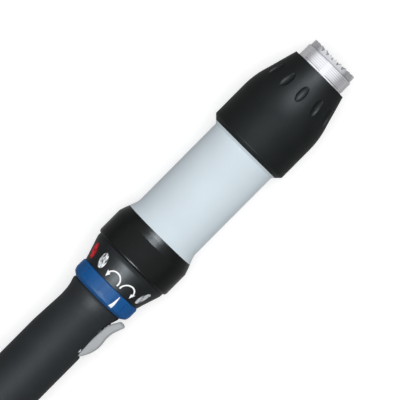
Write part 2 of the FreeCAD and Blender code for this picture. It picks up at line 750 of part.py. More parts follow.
def make_nose_sleeve():
    """Dark sleeve round the transducer, with the ring of finger dimples."""
    body = new_body("nose_sleeve")
    front = -s.sleeve_front
    knee = front - s.sleeve_cone_length
    bore = s.thread_radius + s.sleeve_nose_gap
    seat = s.housing_spigot_radius + s.fit
    inner_radius = s.sleeve_radius - s.sleeve_wall
    front_wall = s.sleeve_wall * 1.6
    inner_front = s.sleeve_nose_radius - s.sleeve_wall + sleeve_slope() * front_wall
    rear_face = s.sleeve_radius - s.sleeve_rear_chamfer
    turn_profile(body, [
        (front, bore),
        (front, s.sleeve_nose_radius),
        (knee, s.sleeve_radius),
        (sleeve_rear + s.sleeve_rear_chamfer, s.sleeve_radius),
        (sleeve_rear, rear_face),
        (sleeve_rear, seat),
        (housing_front, seat),
        (housing_front, inner_radius),
        (knee, inner_radius),
        (front - front_wall, inner_front),
        (front - front_wall, bore),
    ])
    round_edges(body, hoop(knee, s.sleeve_radius), s.sleeve_cone_blend, "cone_blend")
    rear_edge = hoop(sleeve_rear + s.sleeve_rear_chamfer, s.sleeve_radius)
    round_edges(body, rear_edge, s.sleeve_rear_round, "rear_round")

    radius = s.sleeve_nose_radius + sleeve_slope() * (s.dimple_station - s.sleeve_front)
    tilt = math.degrees(math.atan(sleeve_slope().value))
    around = Rotation(Vector(0, 0, 1), -s.dimple_start.value)
    cutter = body.newObject("PartDesign::SubtractiveEllipsoid", "dimple")
    cutter.AttachmentSupport = [(origin_item(body, "YZ_Plane"), "")]
    cutter.MapMode = "FlatFace"
    height = radius + s.dimple_rise
    place = around.multVec(Vector(-height.value, 0, -s.dimple_station.value))
    cutter.AttachmentOffset = Placement(place, around.multiply(Rotation(Vector(0, 1, 0), tilt)))
    for name, half in (("Radius1", s.dimple_half_length), ("Radius2", s.dimple_half_depth),
                       ("Radius3", s.dimple_half_width)):
        setattr(cutter, name, half.value)
        cutter.setExpression(name, half.text)
    ring_pattern(body, [cutter], s.dimples, "dimple_ring")
    return body


def make_motor_housing():
    """Light tube that holds the gearbox and the motor."""
    body = new_body("motor_housing")
    rear_foot = collar_front + s.rear_flare_length
    turn_profile(body, [
        (housing_front, s.housing_bore),
        (housing_front, s.housing_spigot_radius),
        (sleeve_rear, s.housing_spigot_radius),
        (sleeve_rear, s.front_flare_radius),
        (sleeve_rear - s.front_flare_length, s.housing_radius),
        (rear_foot, s.housing_radius),
        (collar_front, s.rear_flare_radius),
        (collar_front, s.housing_spigot_radius),
        (housing_rear, s.housing_spigot_radius),
        (housing_rear, s.housing_bore),
    ])
    round_edges(body, hoop(rear_foot, s.housing_radius), s.rear_flare_round, "flare_round")
    return body


def make_rear_collar():
    """Dark band behind the motor, with the wall that carries the core tube."""
    body = new_body("rear_collar")
    seat = s.housing_spigot_radius + s.fit
    lip_rear = collar_front - s.collar_lip
    band_front = lip_rear - s.collar_bevel
    turn_profile(body, [
        (collar_front, seat),
        (collar_front, s.rear_flare_radius),
        (lip_rear, s.collar_lip_radius),
        (band_front, s.collar_radius),
        (collar_rear, s.collar_radius),
        (collar_rear, s.wire_bore),
        (web_front, s.wire_bore),
        (web_front, s.housing_bore),
        (housing_rear, s.housing_bore),
        (housing_rear, seat),
    ])
    round_edges(body, hoop(collar_rear, s.collar_radius), s.collar_rear_round, "rear_round")
    web_holes(body, "Pocket", s.screw_radius + s.fit, collar_rear, s.collar_web)
    return body


def web_holes(body, kind, radius, rear, length, name="web_holes"):
    """Add or cut the screws between the collar and the core tube."""
    places = on_circle(int(s.web_screws.value), s.web_screw_circle, 45.0)
    return rods(body, places, radius, rear, length, name, kind)


def make_web_screws():
    """Four screws from inside the collar into the core tube."""
    body = new_body("web_screws")
    web_holes(body, "Pad", s.screw_radius, collar_rear - s.screw_bite, s.collar_web + s.screw_bite, "shanks")
    web_holes(body, "Pad", s.screw_head_radius, web_front, s.screw_head_height, "heads")
    return body


# Indicator cone with its windows, lamps and lenses


def cone_outline(rise):
    """Give the outside of the indicator cone, front to rear, raised by a size."""
    return [
        (collar_rear, s.cone_front_radius + rise),
        (collar_rear - s.cone_land, s.cone_front_radius + rise),
        (cone_rear + s.cone_foot_length, s.cone_foot_radius + rise),
        (cone_rear, s.cone_rear_radius + rise),
    ]


def draw_window(sketch, grow):
    """Draw the oval of a window."""
    middle = collar_rear - s.window_station
    long_half = s.window_half_length + grow
    short_half = s.window_half_width + grow
    ellipse = Part.Ellipse(Vector(0, 0, 0), long_half.value, short_half.value)
    ellipse.Center = Vector(middle.value, 0, 0)
    index = sketch.addGeometry(ellipse)
    sketch.exposeInternalGeometry(index)
    bind_point(sketch, index, 3, middle, ZERO)
    for axis, half in ((index + 1, long_half), (index + 2, short_half)):
        ends = Sketcher.Constraint("Distance", axis, 1, axis, 2, half.value * 2)
        rule = sketch.addConstraint(ends)
        sketch.setExpression(f"Constraints[{rule}]", (half * 2).text)
    sketch.addConstraint(Sketcher.Constraint("Horizontal", index + 1))


def make_indicator_cone():
    """Dark cone with six oval windows."""
    body = new_body("indicator_cone")
    bore = s.journal_radius + s.fit
    seat = s.flange_radius + s.fit
    web_station = cone_rear + s.cone_web
    seat_rear = flange_rear - s.board_thickness
    turn_profile(body, cone_outline(ZERO) + [
        (cone_rear, bore),
        (web_station, bore),
        (web_station, s.cone_foot_radius - s.cone_wall),
        (seat_rear, seat),
        (collar_rear, seat),
    ])
    round_edges(body, hoop(collar_rear - s.cone_land, s.cone_front_radius), s.cone_blend, "front_blend")
    for angle in CLEAR_WINDOWS + RED_WINDOWS:
        sketch = sketch_on(body, "XZ_Plane", turn=-angle)
        draw_window(sketch, s.fit)
        extrude(body, sketch, s.collar_radius, "window", "Pocket", reverse=True)
    return body


def make_lenses(label, angles):
    """Oval lenses that fill the windows and stand a little proud."""
    shell = new_body(f"{label}_shell")
    outside = cone_outline(s.lens_rise)
    inside = cone_outline(-(s.cone_wall - s.fit))
    turn_profile(shell, outside + inside[::-1])
    ovals = new_body(f"{label}_ovals")
    for angle in angles:
        sketch = sketch_on(ovals, "XZ_Plane", turn=-angle)
        draw_window(sketch, ZERO)
        extrude(ovals, sketch, s.collar_radius, "oval")
    lenses = doc.addObject("Part::Common", label)
    lenses.Label = label
    lenses.Base = shell
    lenses.Tool = ovals
    return lenses


def make_light_board():
    """Ring board behind the core tube's flange, which carries the lamps."""
    return ring_board("light_board", flange_rear, s.light_board_bore, s.light_board_radius)


def make_status_lamps():
    """One lamp behind each window."""
    body = new_body("status_lamps")
    board_rear = flange_rear - s.board_thickness
    for angle in CLEAR_WINDOWS + RED_WINDOWS:
        sketch = sketch_on(body, "XZ_Plane")
        turn = Rotation(Vector(1, 0, 0), -angle)
        sketch.AttachmentOffset = Placement(turn.multVec(Vector(0, 0, s.light_circle.value)), turn)
        draw_polygon(sketch, [
            (board_rear, s.light_half),
            (board_rear, -s.light_half),
            (board_rear - s.light_height, -s.light_half),
            (board_rear - s.light_height, s.light_half),
        ])
        extrude(body, sketch, s.light_half * 1.4, "lamp", both=True)
    return body


# Core tube and direction ring


def make_core_tube():
    """Tube that carries the cone, the direction ring and the grip."""
    body = new_body("core_tube")
    spigot = s.grip_bore - s.fit
    turn_profile(body, [
        (collar_rear, s.wire_bore),
        (collar_rear, s.flange_radius),
        (flange_rear, s.flange_radius),
        (flange_rear, s.journal_radius),
        (grip_front, s.journal_radius),
        (grip_front, spigot),
        (grip_front - s.core_spigot_length, spigot),
        (grip_front - s.core_spigot_length, s.wire_bore),
    ])
    depth = s.screw_bite + s.fit
    web_holes(body, "Pocket", s.screw_radius + s.fit, collar_rear - depth, depth)
    detent_hole(body, s.detent_radius + s.fit, s.journal_radius - s.detent_radius * 2)
    return body


def detent_hole(body, radius, floor):
    """Drill the blind hole of the detent ball, opposite the lever."""
    sketch = sketch_on(body, "XZ_Plane", -floor)
    draw_circle(sketch, (ring_front + ring_rear) / 2, ZERO, radius)
    extrude(body, sketch, s.journal_radius, "detent_hole", "Pocket")


def make_detent_ball():
    """Ball that clicks under the direction ring."""
    body = new_body("detent_ball")
    ball = body.newObject("PartDesign::AdditiveSphere", "ball")
    ball.Radius = s.detent_radius.value
    ball.setExpression("Radius", s.detent_radius.text)
    height = s.journal_radius + s.detent_rise - s.detent_radius
    middle = (ring_front + ring_rear) / 2
    ball.AttachmentSupport = [(origin_item(body, "XY_Plane"), "")]
    ball.MapMode = "FlatFace"
    ball.AttachmentOffset = Placement(Vector(middle.value, height.value, 0), Rotation())
    ball.setExpression("AttachmentOffset.Base.x", middle.text)
    ball.setExpression("AttachmentOffset.Base.y", height.text)
    return body


def make_direction_ring():
    """Blue ring that turns between the two directions."""
    body = new_body("direction_ring")
    bore = s.journal_radius + s.running_fit
    crest_front = ring_front - s.ring_front_slope
    crest_rear = ring_rear + s.ring_rear_slope
    turn_profile(body, [
        (ring_front, bore),
        (ring_front, s.ring_front_radius),
        (ring_front - s.ring_front_slope / 2, s.ring_front_bevel),
        (crest_front, s.ring_radius),
        (crest_rear, s.ring_radius),
        (ring_rear + s.ring_shoulder_length, s.ring_shoulder_radius),
        (ring_rear, s.ring_rear_radius),
        (ring_rear, bore),
    ])
    middle = (ring_front + ring_rear) / 2
    track_half = s.detent_radius * 0.9
    track_top = s.journal_radius + s.detent_rise + s.side_gap
    track = cut_profile(body, [
        (middle - track_half, bore - 0.5),
        (middle - track_half, track_top),
        (middle + track_half, track_top),
        (middle + track_half, bore - 0.5),
    ], "detent_track", s.detent_track.value)
    turn_sketch(track.Profile[0], s.ring_travel.value / 2 - 90.0)
    flute_floor = s.ring_radius - s.ring_flute_depth
    flute = cut_profile(body, [
        (ring_front + 1.0, flute_floor),
        (ring_rear - 1.0, flute_floor),
        (ring_rear - 1.0, s.ring_radius + 1.0),
        (ring_front + 1.0, s.ring_radius + 1.0),
    ], "flute", s.ring_flute_angle.value)
    half_pitch = 180.0 / s.ring_ribs.value
    turn_sketch(flute.Profile[0], 90.0 - s.ring_rib_start.value + half_pitch)
    ring_pattern(body, [flute], s.ring_ribs, "ribs")
    return body


def turn_sketch(sketch, angle):
    """Turn a sketch about the tool axis."""
    sketch.AttachmentOffset = Placement(Vector(0, 0, 0), Rotation(Vector(1, 0, 0), angle))


# Grip, start lever and trigger


def make_grip():
    """Dark tube of the handle with the slot for the start lever."""
    body = new_body("grip")
    land_rear = grip_front - s.grip_front_land
    neck = grip_front - s.grip_neck_length
    waist = grip_front - s.grip_waist_length
    swell = grip_front - s.grip_swell_length
    turn_profile(body, [
        (grip_front, s.grip_bore),
        (grip_front, s.grip_front_radius - s.grip_edge),
        (grip_front - s.grip_edge, s.grip_front_radius),
        (land_rear, s.grip_front_radius),
        (neck, s.grip_neck_radius),
        (waist, s.grip_waist_radius),
        (swell, s.grip_radius),
        (grip_rear, s.grip_radius),
        (grip_rear, s.grip_bore),
    ])
    round_edges(body, hoop(neck, s.grip_neck_radius), s.grip_blend, "neck_blend")
    slot = sketch_on(body, "XZ_Plane")
    draw_polygon(slot, [
        (grip_front + s.side_gap, s.slot_half_width),
        (grip_front - s.slot_length, s.slot_half_width),
        (grip_front - s.slot_length, -s.slot_half_width),
        (grip_front + s.side_gap, -s.slot_half_width),
    ])
    extrude(body, slot, s.ring_radius, "lever_slot", "Pocket", reverse=True)
    round_edges(body, slot_corner, s.lever_round, "slot_corners")
    pin_bore(body, s.lever_pin_radius + s.fit, s.lever_pin_half + s.fit)
    screw_ring(body, "Pocket", s.cap_screw_radius + s.fit, cap_thread_front, s.cap_screw_length)
    return body


def slot_corner(edge):
    """Find the two corners at the rear end of the lever slot."""
    box = edge.BoundBox
    station = grip_front - s.slot_length
    short = box.XLength < 0.01 and box.ZLength < 0.01
    return short and abs(box.XMin - station.value) < 0.01 and box.YMax < 0


def pin_bore(body, radius, half_length):
    """Drill the bore of the lever's pin."""
    sketch = sketch_on(body, "XY_Plane")
    draw_circle(sketch, grip_front - s.lever_pin_back, -s.lever_pin_depth, radius)
    extrude(body, sketch, half_length * 2, "pin_bore", "Pocket", both=True)


def screw_ring(body, kind, radius, front, length, name="cap_holes"):
    """Add or cut the screws of the cap, which run forward into the grip."""
    places = on_circle(int(s.cap_screws.value), s.cap_screw_circle, 45.0)
    return rods(body, places, radius, front - length, length, name, kind)


cap_thread_front = cap_rear + s.cap_screw_length


def back(distance):
    """Give the station at a distance behind the grip's ring end."""
    return grip_front - distance


def make_start_lever():
    """Sprung lever that starts the tool."""
    body = new_body("start_lever")
    corners = [
        (back(37.0), -size(13.4)),
        (back(37.0), -size(19.4)),
        (back(31.2), -size(22.5)),
        (back(23.7), -size(24.6)),
        (back(12.9), -size(23.0)),
        (back(1.7), -size(27.2)),
        (back(0.7), -size(24.8)),
        (back(1.0), -size(22.5)),
        (back(8.4), -size(18.3)),
        (back(26.9), -size(16.8)),
        (back(29.9), -size(13.4)),
    ]
    sketch = sketch_on(body, "XY_Plane")
    draw_polygon(sketch, corners)
    extrude(body, sketch, s.lever_half_width * 2, "outline", both=True)
    blends = ((1, 3.0), (2, 14.0), (3, 20.0), (4, 20.0), (5, 1.3), (6, 1.5), (8, 6.0), (0, 2.0), (10, 2.0))
    for corner, radius in blends:
        round_edges(body, upright(*corners[corner]), size(radius), f"blend_{corner}")
    hollow(body, "front_hollow", [
        (back(2.6), -size(14.0)),
        (back(2.6), -size(22.4)),
        (back(10.6), -size(20.4)),
        (back(10.6), -size(14.0)),
    ])
    hollow(body, "rear_hollow", [
        (back(19.4), -size(12.0)),
        (back(19.4), -size(21.0)),
        (back(28.2), -size(20.2)),
        (back(28.2), -size(12.0)),
    ])
    pin_bore(body, s.lever_pin_radius + s.running_fit, s.lever_half_width + 1.0)
    round_edges(body, lever_rim, s.lever_round, "rim")
    return body


def hollow(body, name, points):
    """Cut a hollow into the lever from below."""
    sketch = sketch_on(body, "XY_Plane")
    draw_polygon(sketch, points)
    width = (s.lever_half_width - s.lever_cheek) * 2
    extrude(body, sketch, width, name, "Pocket", both=True)


def lever_rim(edge):
    """Find the long upper edges of the lever."""
    box = edge.BoundBox
    on_side = box.ZLength < 0.01 and abs(abs(box.ZMin) - s.lever_half_width.value) < 0.01
    return on_side and box.YMin < -22.0 and box.YMax < -18.0


def make_lever_pin():
    """Pin of the start lever."""
    body = new_body("lever_pin")
    sketch = sketch_on(body, "XY_Plane")
    draw_circle(sketch, back(s.lever_pin_back), -s.lever_pin_depth, s.lever_pin_radius)
    extrude(body, sketch, s.lever_pin_half * 2, "pin", both=True)
    return body


def make_lever_spring():
    """Bent leaf spring that lifts the start lever."""
    body = new_body("lever_spring")
    foot = s.grip_bore + s.fit
    bend = back(s.spring_back)
    tail = bend - s.spring_length
    strip = s.spring_strip
    sketch = sketch_on(body, "XY_Plane")
    draw_polygon(sketch, [
        (tail, -foot),
        (bend, -foot),
        (bend, -(foot + strip * 2)),
        (tail, -s.spring_top),
        (tail, -(s.spring_top - strip)),
        (bend - strip * 2, -(foot + strip)),
        (tail, -(foot + strip)),
    ])
    extrude(body, sketch, s.spring_width, "leaf", both=True)
    return body


def make_trigger_switch():
    """Switch under the lever, with the bore of its plunger."""
    body = new_body("trigger_switch")
    middle = back(s.plunger_back)
    half = s.switch_length / 2
    sketch = sketch_on(body, "XY_Plane")
    draw_polygon(sketch, [
        (middle + half, -(s.board_thickness / 2)),
        (middle + half, -s.switch_top),
        (middle - half, -s.switch_top),
        (middle - half, -(s.board_thickness / 2)),
    ])
    extrude(body, sketch, s.switch_half_width * 2, "case", both=True)
    bore = sketch_on(body, "XZ_Plane", s.plunger_top - s.plunger_length - 2.4)
    draw_circle(bore, middle, ZERO, s.plunger_radius + s.running_fit)
    extrude(body, bore, s.plunger_length, "plunger_bore", "Pocket", reverse=True)
    return body


def make_switch_plunger():
    """Plunger between the lever and the trigger switch."""
    body = new_body("switch_plunger")
    sketch = sketch_on(body, "XZ_Plane", s.plunger_top - s.plunger_length)
    draw_circle(sketch, back(s.plunger_back), ZERO, s.plunger_radius)
    extrude(body, sketch, s.plunger_length, "stem")
    return body


# Electronics in the grip


def make_control_board():
    """Long control board across the grip."""
    body = new_body("control_board")
    sketch = sketch_on(body, "XZ_Plane")
    draw_polygon(sketch, [
        (main_board_front, s.main_board_half),
        (main_board_front, -s.main_board_half),
        (main_board_rear, -s.main_board_half),
        (main_board_rear, s.main_board_half),
    ])
    extrude(body, sketch, s.board_thickness, "board", both=True)
    return body


def make_board_parts():
    """Capacitors, power stage, chips and plug of the control board."""
    body = new_body("board_parts")
    face = s.board_thickness / 2
    first = main_board_front - s.capacitor_start
    for index in range(CAPACITORS):
        cans = sketch_on(body, "XZ_Plane", -(face + s.capacitor_length))
        draw_circle(cans, first - s.capacitor_pitch * index, ZERO, s.capacitor_radius)
        extrude(body, cans, s.capacitor_length, f"capacitor_{index}")
    blocks = (
        (main_board_front - s.power_stage_start, s.power_stage_length, s.power_stage_half, s.power_stage_height),
        (main_board_front - s.driver_start, s.driver_length, s.driver_half, s.driver_height),
        (main_board_rear + s.processor_start, s.processor_length, s.processor_half, s.processor_height),
        (main_board_rear + s.plug_start, s.plug_length, s.plug_half, s.plug_height),
    )
    for front, length, half, height in blocks:
        block = sketch_on(body, "XZ_Plane", face)
        draw_polygon(block, [
            (front, half),
            (front, -half),
            (front - length, -half),
            (front - length, half),
        ])
        extrude(body, block, height, "block")
    return body


def make_motor_leads():
    """Three leads from the encoder board to the control board."""
    body = new_body("motor_leads")
    side = s.board_thickness / 2 + s.wire_radius
    rear = main_board_front - s.lead_overlap
    places = [(side, s.wire_spread * step) for step in (-1, 0, 1)]
    rods(body, places, s.wire_radius, rear, encoder_board_rear - rear, "leads")
    return body


# Rear cap and cable inlet


def make_grip_cap():
    """Cap that closes the grip and holds the cable inlet."""
    body = new_body("grip_cap")
    bore = s.inlet_tail_radius + s.fit
    turn_profile(body, [
        (grip_rear + s.cap_spigot, bore),
        (grip_rear + s.cap_spigot, s.grip_bore - s.fit),
        (grip_rear, s.grip_bore - s.fit),
        (grip_rear, s.grip_radius),
        (cap_rear + s.cap_bevel, s.grip_radius),
        (cap_rear, s.grip_radius - s.cap_bevel),
        (cap_rear, bore),
    ])
    screw_ring(body, "Pocket", s.cap_screw_radius + s.fit, grip_rear, s.cap_length)
    head_seat = cap_rear + s.cap_screw_head
    screw_ring(body, "Pocket", s.cap_screw_head + s.fit, head_seat, s.cap_screw_head, "head_seats")
    return body


def make_cap_screws():
    """Four screws that hold the cap."""
    body = new_body("cap_screws")
    shank = s.cap_screw_length - s.fit
    screw_ring(body, "Pad", s.cap_screw_radius, cap_thread_front - s.fit, shank, "shanks")
    head = s.cap_screw_head - s.fit
    screw_ring(body, "Pad", s.cap_screw_head, cap_rear + s.cap_screw_head, head, "heads")
    return body


inlet_flange_rear = cap_rear - s.inlet_flange_thickness
insert_front = inlet_flange_rear


def make_inlet_shell():
    """Threaded metal shell of the cable inlet."""
    body = new_body("inlet_shell")
    turn_profile(body, [
        (inlet_tail_front, s.inlet_tail_bore),
        (inlet_tail_front, s.inlet_tail_radius),
        (cap_rear, s.inlet_tail_radius),
        (cap_rear, s.inlet_flange),
        (inlet_flange_rear, s.inlet_flange),
        (inlet_flange_rear, s.inlet_radius),
        (inlet_rear, s.inlet_radius),
        (inlet_rear, s.inlet_bore),
        (insert_front, s.inlet_bore),
        (insert_front, s.inlet_tail_bore),
    ])
    return body


def make_inlet_nut():
    """Nut that clamps the cable inlet from inside."""
    body = new_body("inlet_nut")
    rear = grip_rear + s.cap_spigot
    sketch = sketch_on(body, "YZ_Plane", rear)
    draw_hexagon(sketch, s.inlet_nut_radius * math.sqrt(3))
    draw_circle(sketch, ZERO, ZERO, s.inlet_tail_radius + s.fit)
    extrude(body, sketch, s.inlet_nut_thickness, "nut")
    return body


def make_inlet_insert():
    """Insulating insert with the holes of the contacts."""
    body = new_body("inlet_insert")
    sketch = sketch_on(body, "YZ_Plane", insert_front - s.insert_length)
    draw_circle(sketch, ZERO, ZERO, s.inlet_bore - s.fit)
    extrude(body, sketch, s.insert_length, "disc")
    rods(body, contact_places(), s.contact_radius + s.fit, insert_front - s.insert_length,
         s.insert_length, "contact_holes", "Pocket")
    return body


def contact_places():
    """Give the places of the contacts: one in the middle and the rest on a circle."""
    return [(ZERO, ZERO)] + on_circle(int(s.contacts.value), s.contact_circle, 22.5)


def make_inlet_contacts():
    """Contact pins of the cable inlet."""
    body = new_body("inlet_contacts")
    rear = insert_front - s.insert_length - s.contact_rise
    rods(body, contact_places(), s.contact_radius, rear, s.insert_length + s.contact_rise, "pins")
    return body


# Planetary gear train

slow_plate_front = gear_front - s.stage_gap
slow_plate_rear = slow_plate_front - s.slow_plate
slow_planet_front = slow_plate_rear - s.stage_gap
slow_planet_rear = slow_planet_front - s.slow_face
slow_rear_front = slow_planet_rear - s.stage_gap
slow_rear = slow_rear_front - s.slow_rear_plate
fast_plate_front = slow_rear - s.stage_gap
fast_plate_rear = fast_plate_front - s.fast_plate
fast_planet_front = fast_plate_rear - s.stage_gap
fast_planet_rear = fast_planet_front - s.fast_face
centre_distance = s.gear_module * (s.sun_teeth + s.planet_teeth) / 2
front_shield_rear = gear_rear - s.shield_length


def flank_angle(radius, pitch_radius, half_thickness):
    """Give the angle of an involute flank at a radius, from the middle of the tooth."""
    pressure = math.radians(s.pressure_angle.value)
    base = pitch_radius * math.cos(pressure)
    lean = math.acos(min(1.0, base / radius))
    return half_thickness + (math.tan(pressure) - pressure) - (math.tan(lean) - lean)


def gear_wire(teeth, inner, outer, thinning, start):
    """Give the closed outline of a gear, or of the space inside a ring gear."""
    pitch_radius = s.gear_module.value * teeth / 2
    base = pitch_radius * math.cos(math.radians(s.pressure_angle.value))
    half_thickness = math.pi / (2 * teeth) - thinning / (2 * pitch_radius)
    lowest = max(inner, base)
    radii = (lowest, (lowest + outer) / 2, outer)
    flank = [(radius, flank_angle(radius, pitch_radius, half_thickness)) for radius in radii]

    def point(radius, turn):
        return Vector(radius * math.cos(turn), radius * math.sin(turn), 0)

    edges = []
    for tooth in range(teeth):
        middle = math.radians(start) + 2 * math.pi * tooth / teeth
        following = middle + 2 * math.pi / teeth
        rising = [point(radius, middle - turn) for radius, turn in flank]
        falling = [point(radius, middle + turn) for radius, turn in reversed(flank)]
        next_rise = point(radii[0], following - flank[0][1])
        if inner < lowest:
            edges.append(Part.makeLine(point(inner, middle - flank[0][1]), rising[0]))
        edges.append(Part.Arc(*rising).toShape())
        edges.append(Part.Arc(rising[2], point(outer, middle), falling[0]).toShape())
        edges.append(Part.Arc(*falling).toShape())
        foot = point(inner, middle + flank[0][1])
        if inner < lowest:
            edges.append(Part.makeLine(falling[2], foot))
            next_rise = point(inner, following - flank[0][1])
        valley = point(inner, (middle + following) / 2)
        edges.append(Part.Arc(foot, valley, next_rise).toShape())
    return Part.Wire(edges)


def gear_shape(teeth, face_width, bore, start):
    """Make an external spur gear on the tool axis, running forward from zero."""
    pitch_radius = s.gear_module.value * teeth / 2
    outer = pitch_radius + s.tip_height.value * s.gear_module.value
    inner = pitch_radius - s.root_depth.value * s.gear_module.value
    wires = [gear_wire(teeth, inner, outer, s.backlash.value / 2, start)]
    if bore > 0:
        wires.append(Part.Wire(Part.makeCircle(bore)))
    return Part.Face(wires, "Part::FaceMakerBullseye").extrude(Vector(0, 0, face_width))


def along_tool(rear, y=0.0, z=0.0):
    """Give the placement that lays a gear's own axis along the tool."""
    return Placement(Vector(rear.value, y, z), Rotation(Vector(0, 1, 0), 90.0))


def add_gear(label, shape, placement):
    """Add a finished gear as a sub-part."""
    gear = doc.addObject("Part::Feature", label)
    gear.Label = label
    gear.Shape = shape
    gear.Placement = placement
    return gear


def make_ring_gear():
    """Ring gear that both stages share."""
    teeth = int(s.ring_teeth.value)
    pitch_radius = s.gear_module.value * teeth / 2
    outer = pitch_radius + s.root_depth.value * s.gear_module.value
    inner = pitch_radius - s.tip_height.value * s.gear_module.value
    space = gear_wire(teeth, inner, outer, -s.backlash.value / 2, 0.0)
    rim = Part.Wire(Part.makeCircle((s.housing_bore - s.fit).value))
    ring = Part.Face([rim, space], "Part::FaceMakerBullseye")
    shape = ring.extrude(Vector(0, 0, s.ring_gear_length.value))
    return add_gear("ring_gear", shape, along_tool(gear_rear))


def make_planets(stage, rear, face_width):
    """Three planet gears of one stage."""
    teeth = int(s.planet_teeth.value)
    bore = (s.planet_pin_radius + s.running_fit).value
    shape = gear_shape(teeth, face_width.value, bore, 0.0)
    gears = []
    for index in range(int(s.planets.value)):
        turn = 2 * math.pi * index / s.planets.value
        offset = Vector(0, centre_distance.value * math.sin(turn), -centre_distance.value * math.cos(turn))
        placement = along_tool(rear, offset.y, offset.z)
        label = f"{stage}_planet_{index + 1}"
        gears.append(add_gear(label, shape.copy(), placement))
    return gears


def make_suns():
    """Sun gears of the slow and the fast stage."""
    teeth = int(s.sun_teeth.value)
    half_pitch = 180.0 / teeth
    slow_rear_face = fast_plate_front
    slow_width = slow_planet_front - slow_rear_face
    slow = gear_shape(teeth, slow_width.value, 0.0, half_pitch)
    stub = Part.makeCylinder(s.sun_stub_radius.value, s.fast_plate.value, Vector(0, 0, -s.fast_plate.value))
    add_gear("slow_sun", slow.fuse(stub).removeSplitter(), along_tool(slow_rear_face))
    fast_rear = fast_planet_rear - s.stage_gap
    fast_width = fast_planet_front - fast_rear
    bore = (s.pinion_stub_radius + s.fit).value
    add_gear("fast_sun", gear_shape(teeth, fast_width.value, bore, half_pitch), along_tool(fast_rear))


def planet_places(radius, half_turn=False):
    """Give the places of the planets' pins, or of the posts between them."""
    start = -90.0 + (180.0 / s.planets.value if half_turn else 0.0)
    return on_circle(int(s.planets.value), radius, start)


def make_slow_carrier():
    """Carrier of the slow stage: two plates joined by posts."""
    body = new_body("slow_carrier")
    front = sketch_on(body, "YZ_Plane", slow_plate_rear)
    draw_circle(front, ZERO, ZERO, s.carrier_radius)
    draw_hexagon(front, s.coupling_flats + s.fit * 2)
    extrude(body, front, s.slow_plate, "front_plate")
    rods(body, planet_places(s.post_circle, True), s.post_radius, slow_rear_front,
         slow_plate_rear - slow_rear_front, "posts")
    rear = sketch_on(body, "YZ_Plane", slow_rear)
    draw_circle(rear, ZERO, ZERO, s.carrier_radius)
    draw_circle(rear, ZERO, ZERO, sun_clearance)
    extrude(body, rear, s.slow_rear_plate, "rear_plate")
    rods(body, planet_places(centre_distance), s.planet_pin_radius + s.fit, slow_rear,
         slow_plate_front - slow_rear, "pin_holes", "Pocket")
    return body


sun_clearance = s.gear_module * (s.sun_teeth / 2 + s.tip_height) + s.stage_gap


def make_slow_pins():
    """Pins under the slow planets."""
    body = new_body("slow_planet_pins")
    rods(body, planet_places(centre_distance), s.planet_pin_radius, slow_rear,
         slow_plate_front - slow_rear, "pins")
    return body


def make_fast_carrier():
    """Carrier plate of the fast stage, driven by its pins."""
    body = new_body("fast_carrier")
    plate = sketch_on(body, "YZ_Plane", fast_plate_rear)
    draw_circle(plate, ZERO, ZERO, s.carrier_radius)
    draw_circle(plate, ZERO, ZERO, s.sun_stub_radius + s.fit)
    extrude(body, plate, s.fast_plate, "plate")
    rods(body, planet_places(centre_distance), s.planet_pin_radius + s.fit, fast_plate_rear,
         s.fast_plate, "pin_holes", "Pocket")
    return body


def make_fast_pins():
    """Headed pins under the fast planets."""
    body = new_body("fast_planet_pins")
    head_front = fast_planet_rear - s.side_gap
    rods(body, planet_places(centre_distance), s.planet_pin_radius, head_front,
         fast_plate_front - head_front, "pins")
    rods(body, planet_places(centre_distance), s.pin_head_radius, head_front - s.pin_head_height,
         s.pin_head_height, "heads")
    return body


def make_gear_bearing():
    """Ball bearing between the spindle's tail and the transducer."""
    body = new_body("gear_bearing")
    bore = s.spindle_tail_radius + s.running_fit
    bearing_profile(body, bore, s.gear_bearing_radius, cell_tube_rear, s.cell_seat_width, "bearing")
    return body


# Motor

encoder_board_rear = web_front + s.sensor_space
encoder_board_front = encoder_board_rear + s.board_thickness
encoder_rear = encoder_board_front + s.encoder_gap
encoder_front = encoder_rear + s.encoder_hub_length
rear_shield_rear = encoder_front + s.rear_shield_gap
rear_shield_front = rear_shield_rear + s.shield_length
coil_front = front_shield_rear - s.coil_gap
coil_rear = rear_shield_front + s.rear_shield_gap
core_front = coil_front - s.coil_head
core_rear = coil_rear + s.coil_head
core_length = core_front - core_rear


def make_end_shield(label, front, hole, seat_behind):
    """Motor end shield with a bearing seat on one side."""
    body = new_body(label)
    rear = front - s.shield_length
    seat = s.motor_bearing_radius + s.fit
    outside = s.housing_bore - s.fit
    wall = s.shield_length - s.motor_bearing_width
    step = front - wall if seat_behind else rear + wall
    front_radius, rear_radius = (hole, seat) if seat_behind else (seat, hole)
    turn_profile(body, [
        (front, front_radius),
        (front, outside),
        (rear, outside),
        (rear, rear_radius),
        (step, rear_radius),
        (step, front_radius),
    ])
    return body


def make_motor_bearings():
    """Ball bearings of the motor shaft."""
    body = new_body("motor_bearings")
    bore = s.shaft_radius + s.running_fit
    width = s.motor_bearing_width
    bearing_profile(body, bore, s.motor_bearing_radius, front_shield_rear + width, width, "front")
    bearing_profile(body, bore, s.motor_bearing_radius, rear_shield_front, width, "rear")
    return body


def make_motor_shaft():
    """Motor shaft with the stub of the fast sun."""
    body = new_body("motor_shaft")
    stub_rear = fast_planet_rear - s.stage_gap
    turn_profile(body, [
        (fast_planet_front, ZERO),
        (fast_planet_front, s.pinion_stub_radius),
        (stub_rear, s.pinion_stub_radius),
        (stub_rear, s.shaft_radius),
        (encoder_rear, s.shaft_radius),
        (encoder_rear, ZERO),
    ])
    return body


def make_rotor_core():
    """Laminated rotor core."""
    body = new_body("rotor_core")
    turn_profile(body, [
        (core_front, s.shaft_radius + s.fit),
        (core_front, s.rotor_radius),
        (core_rear, s.rotor_radius),
        (core_rear, s.shaft_radius + s.fit),
    ])
    return body


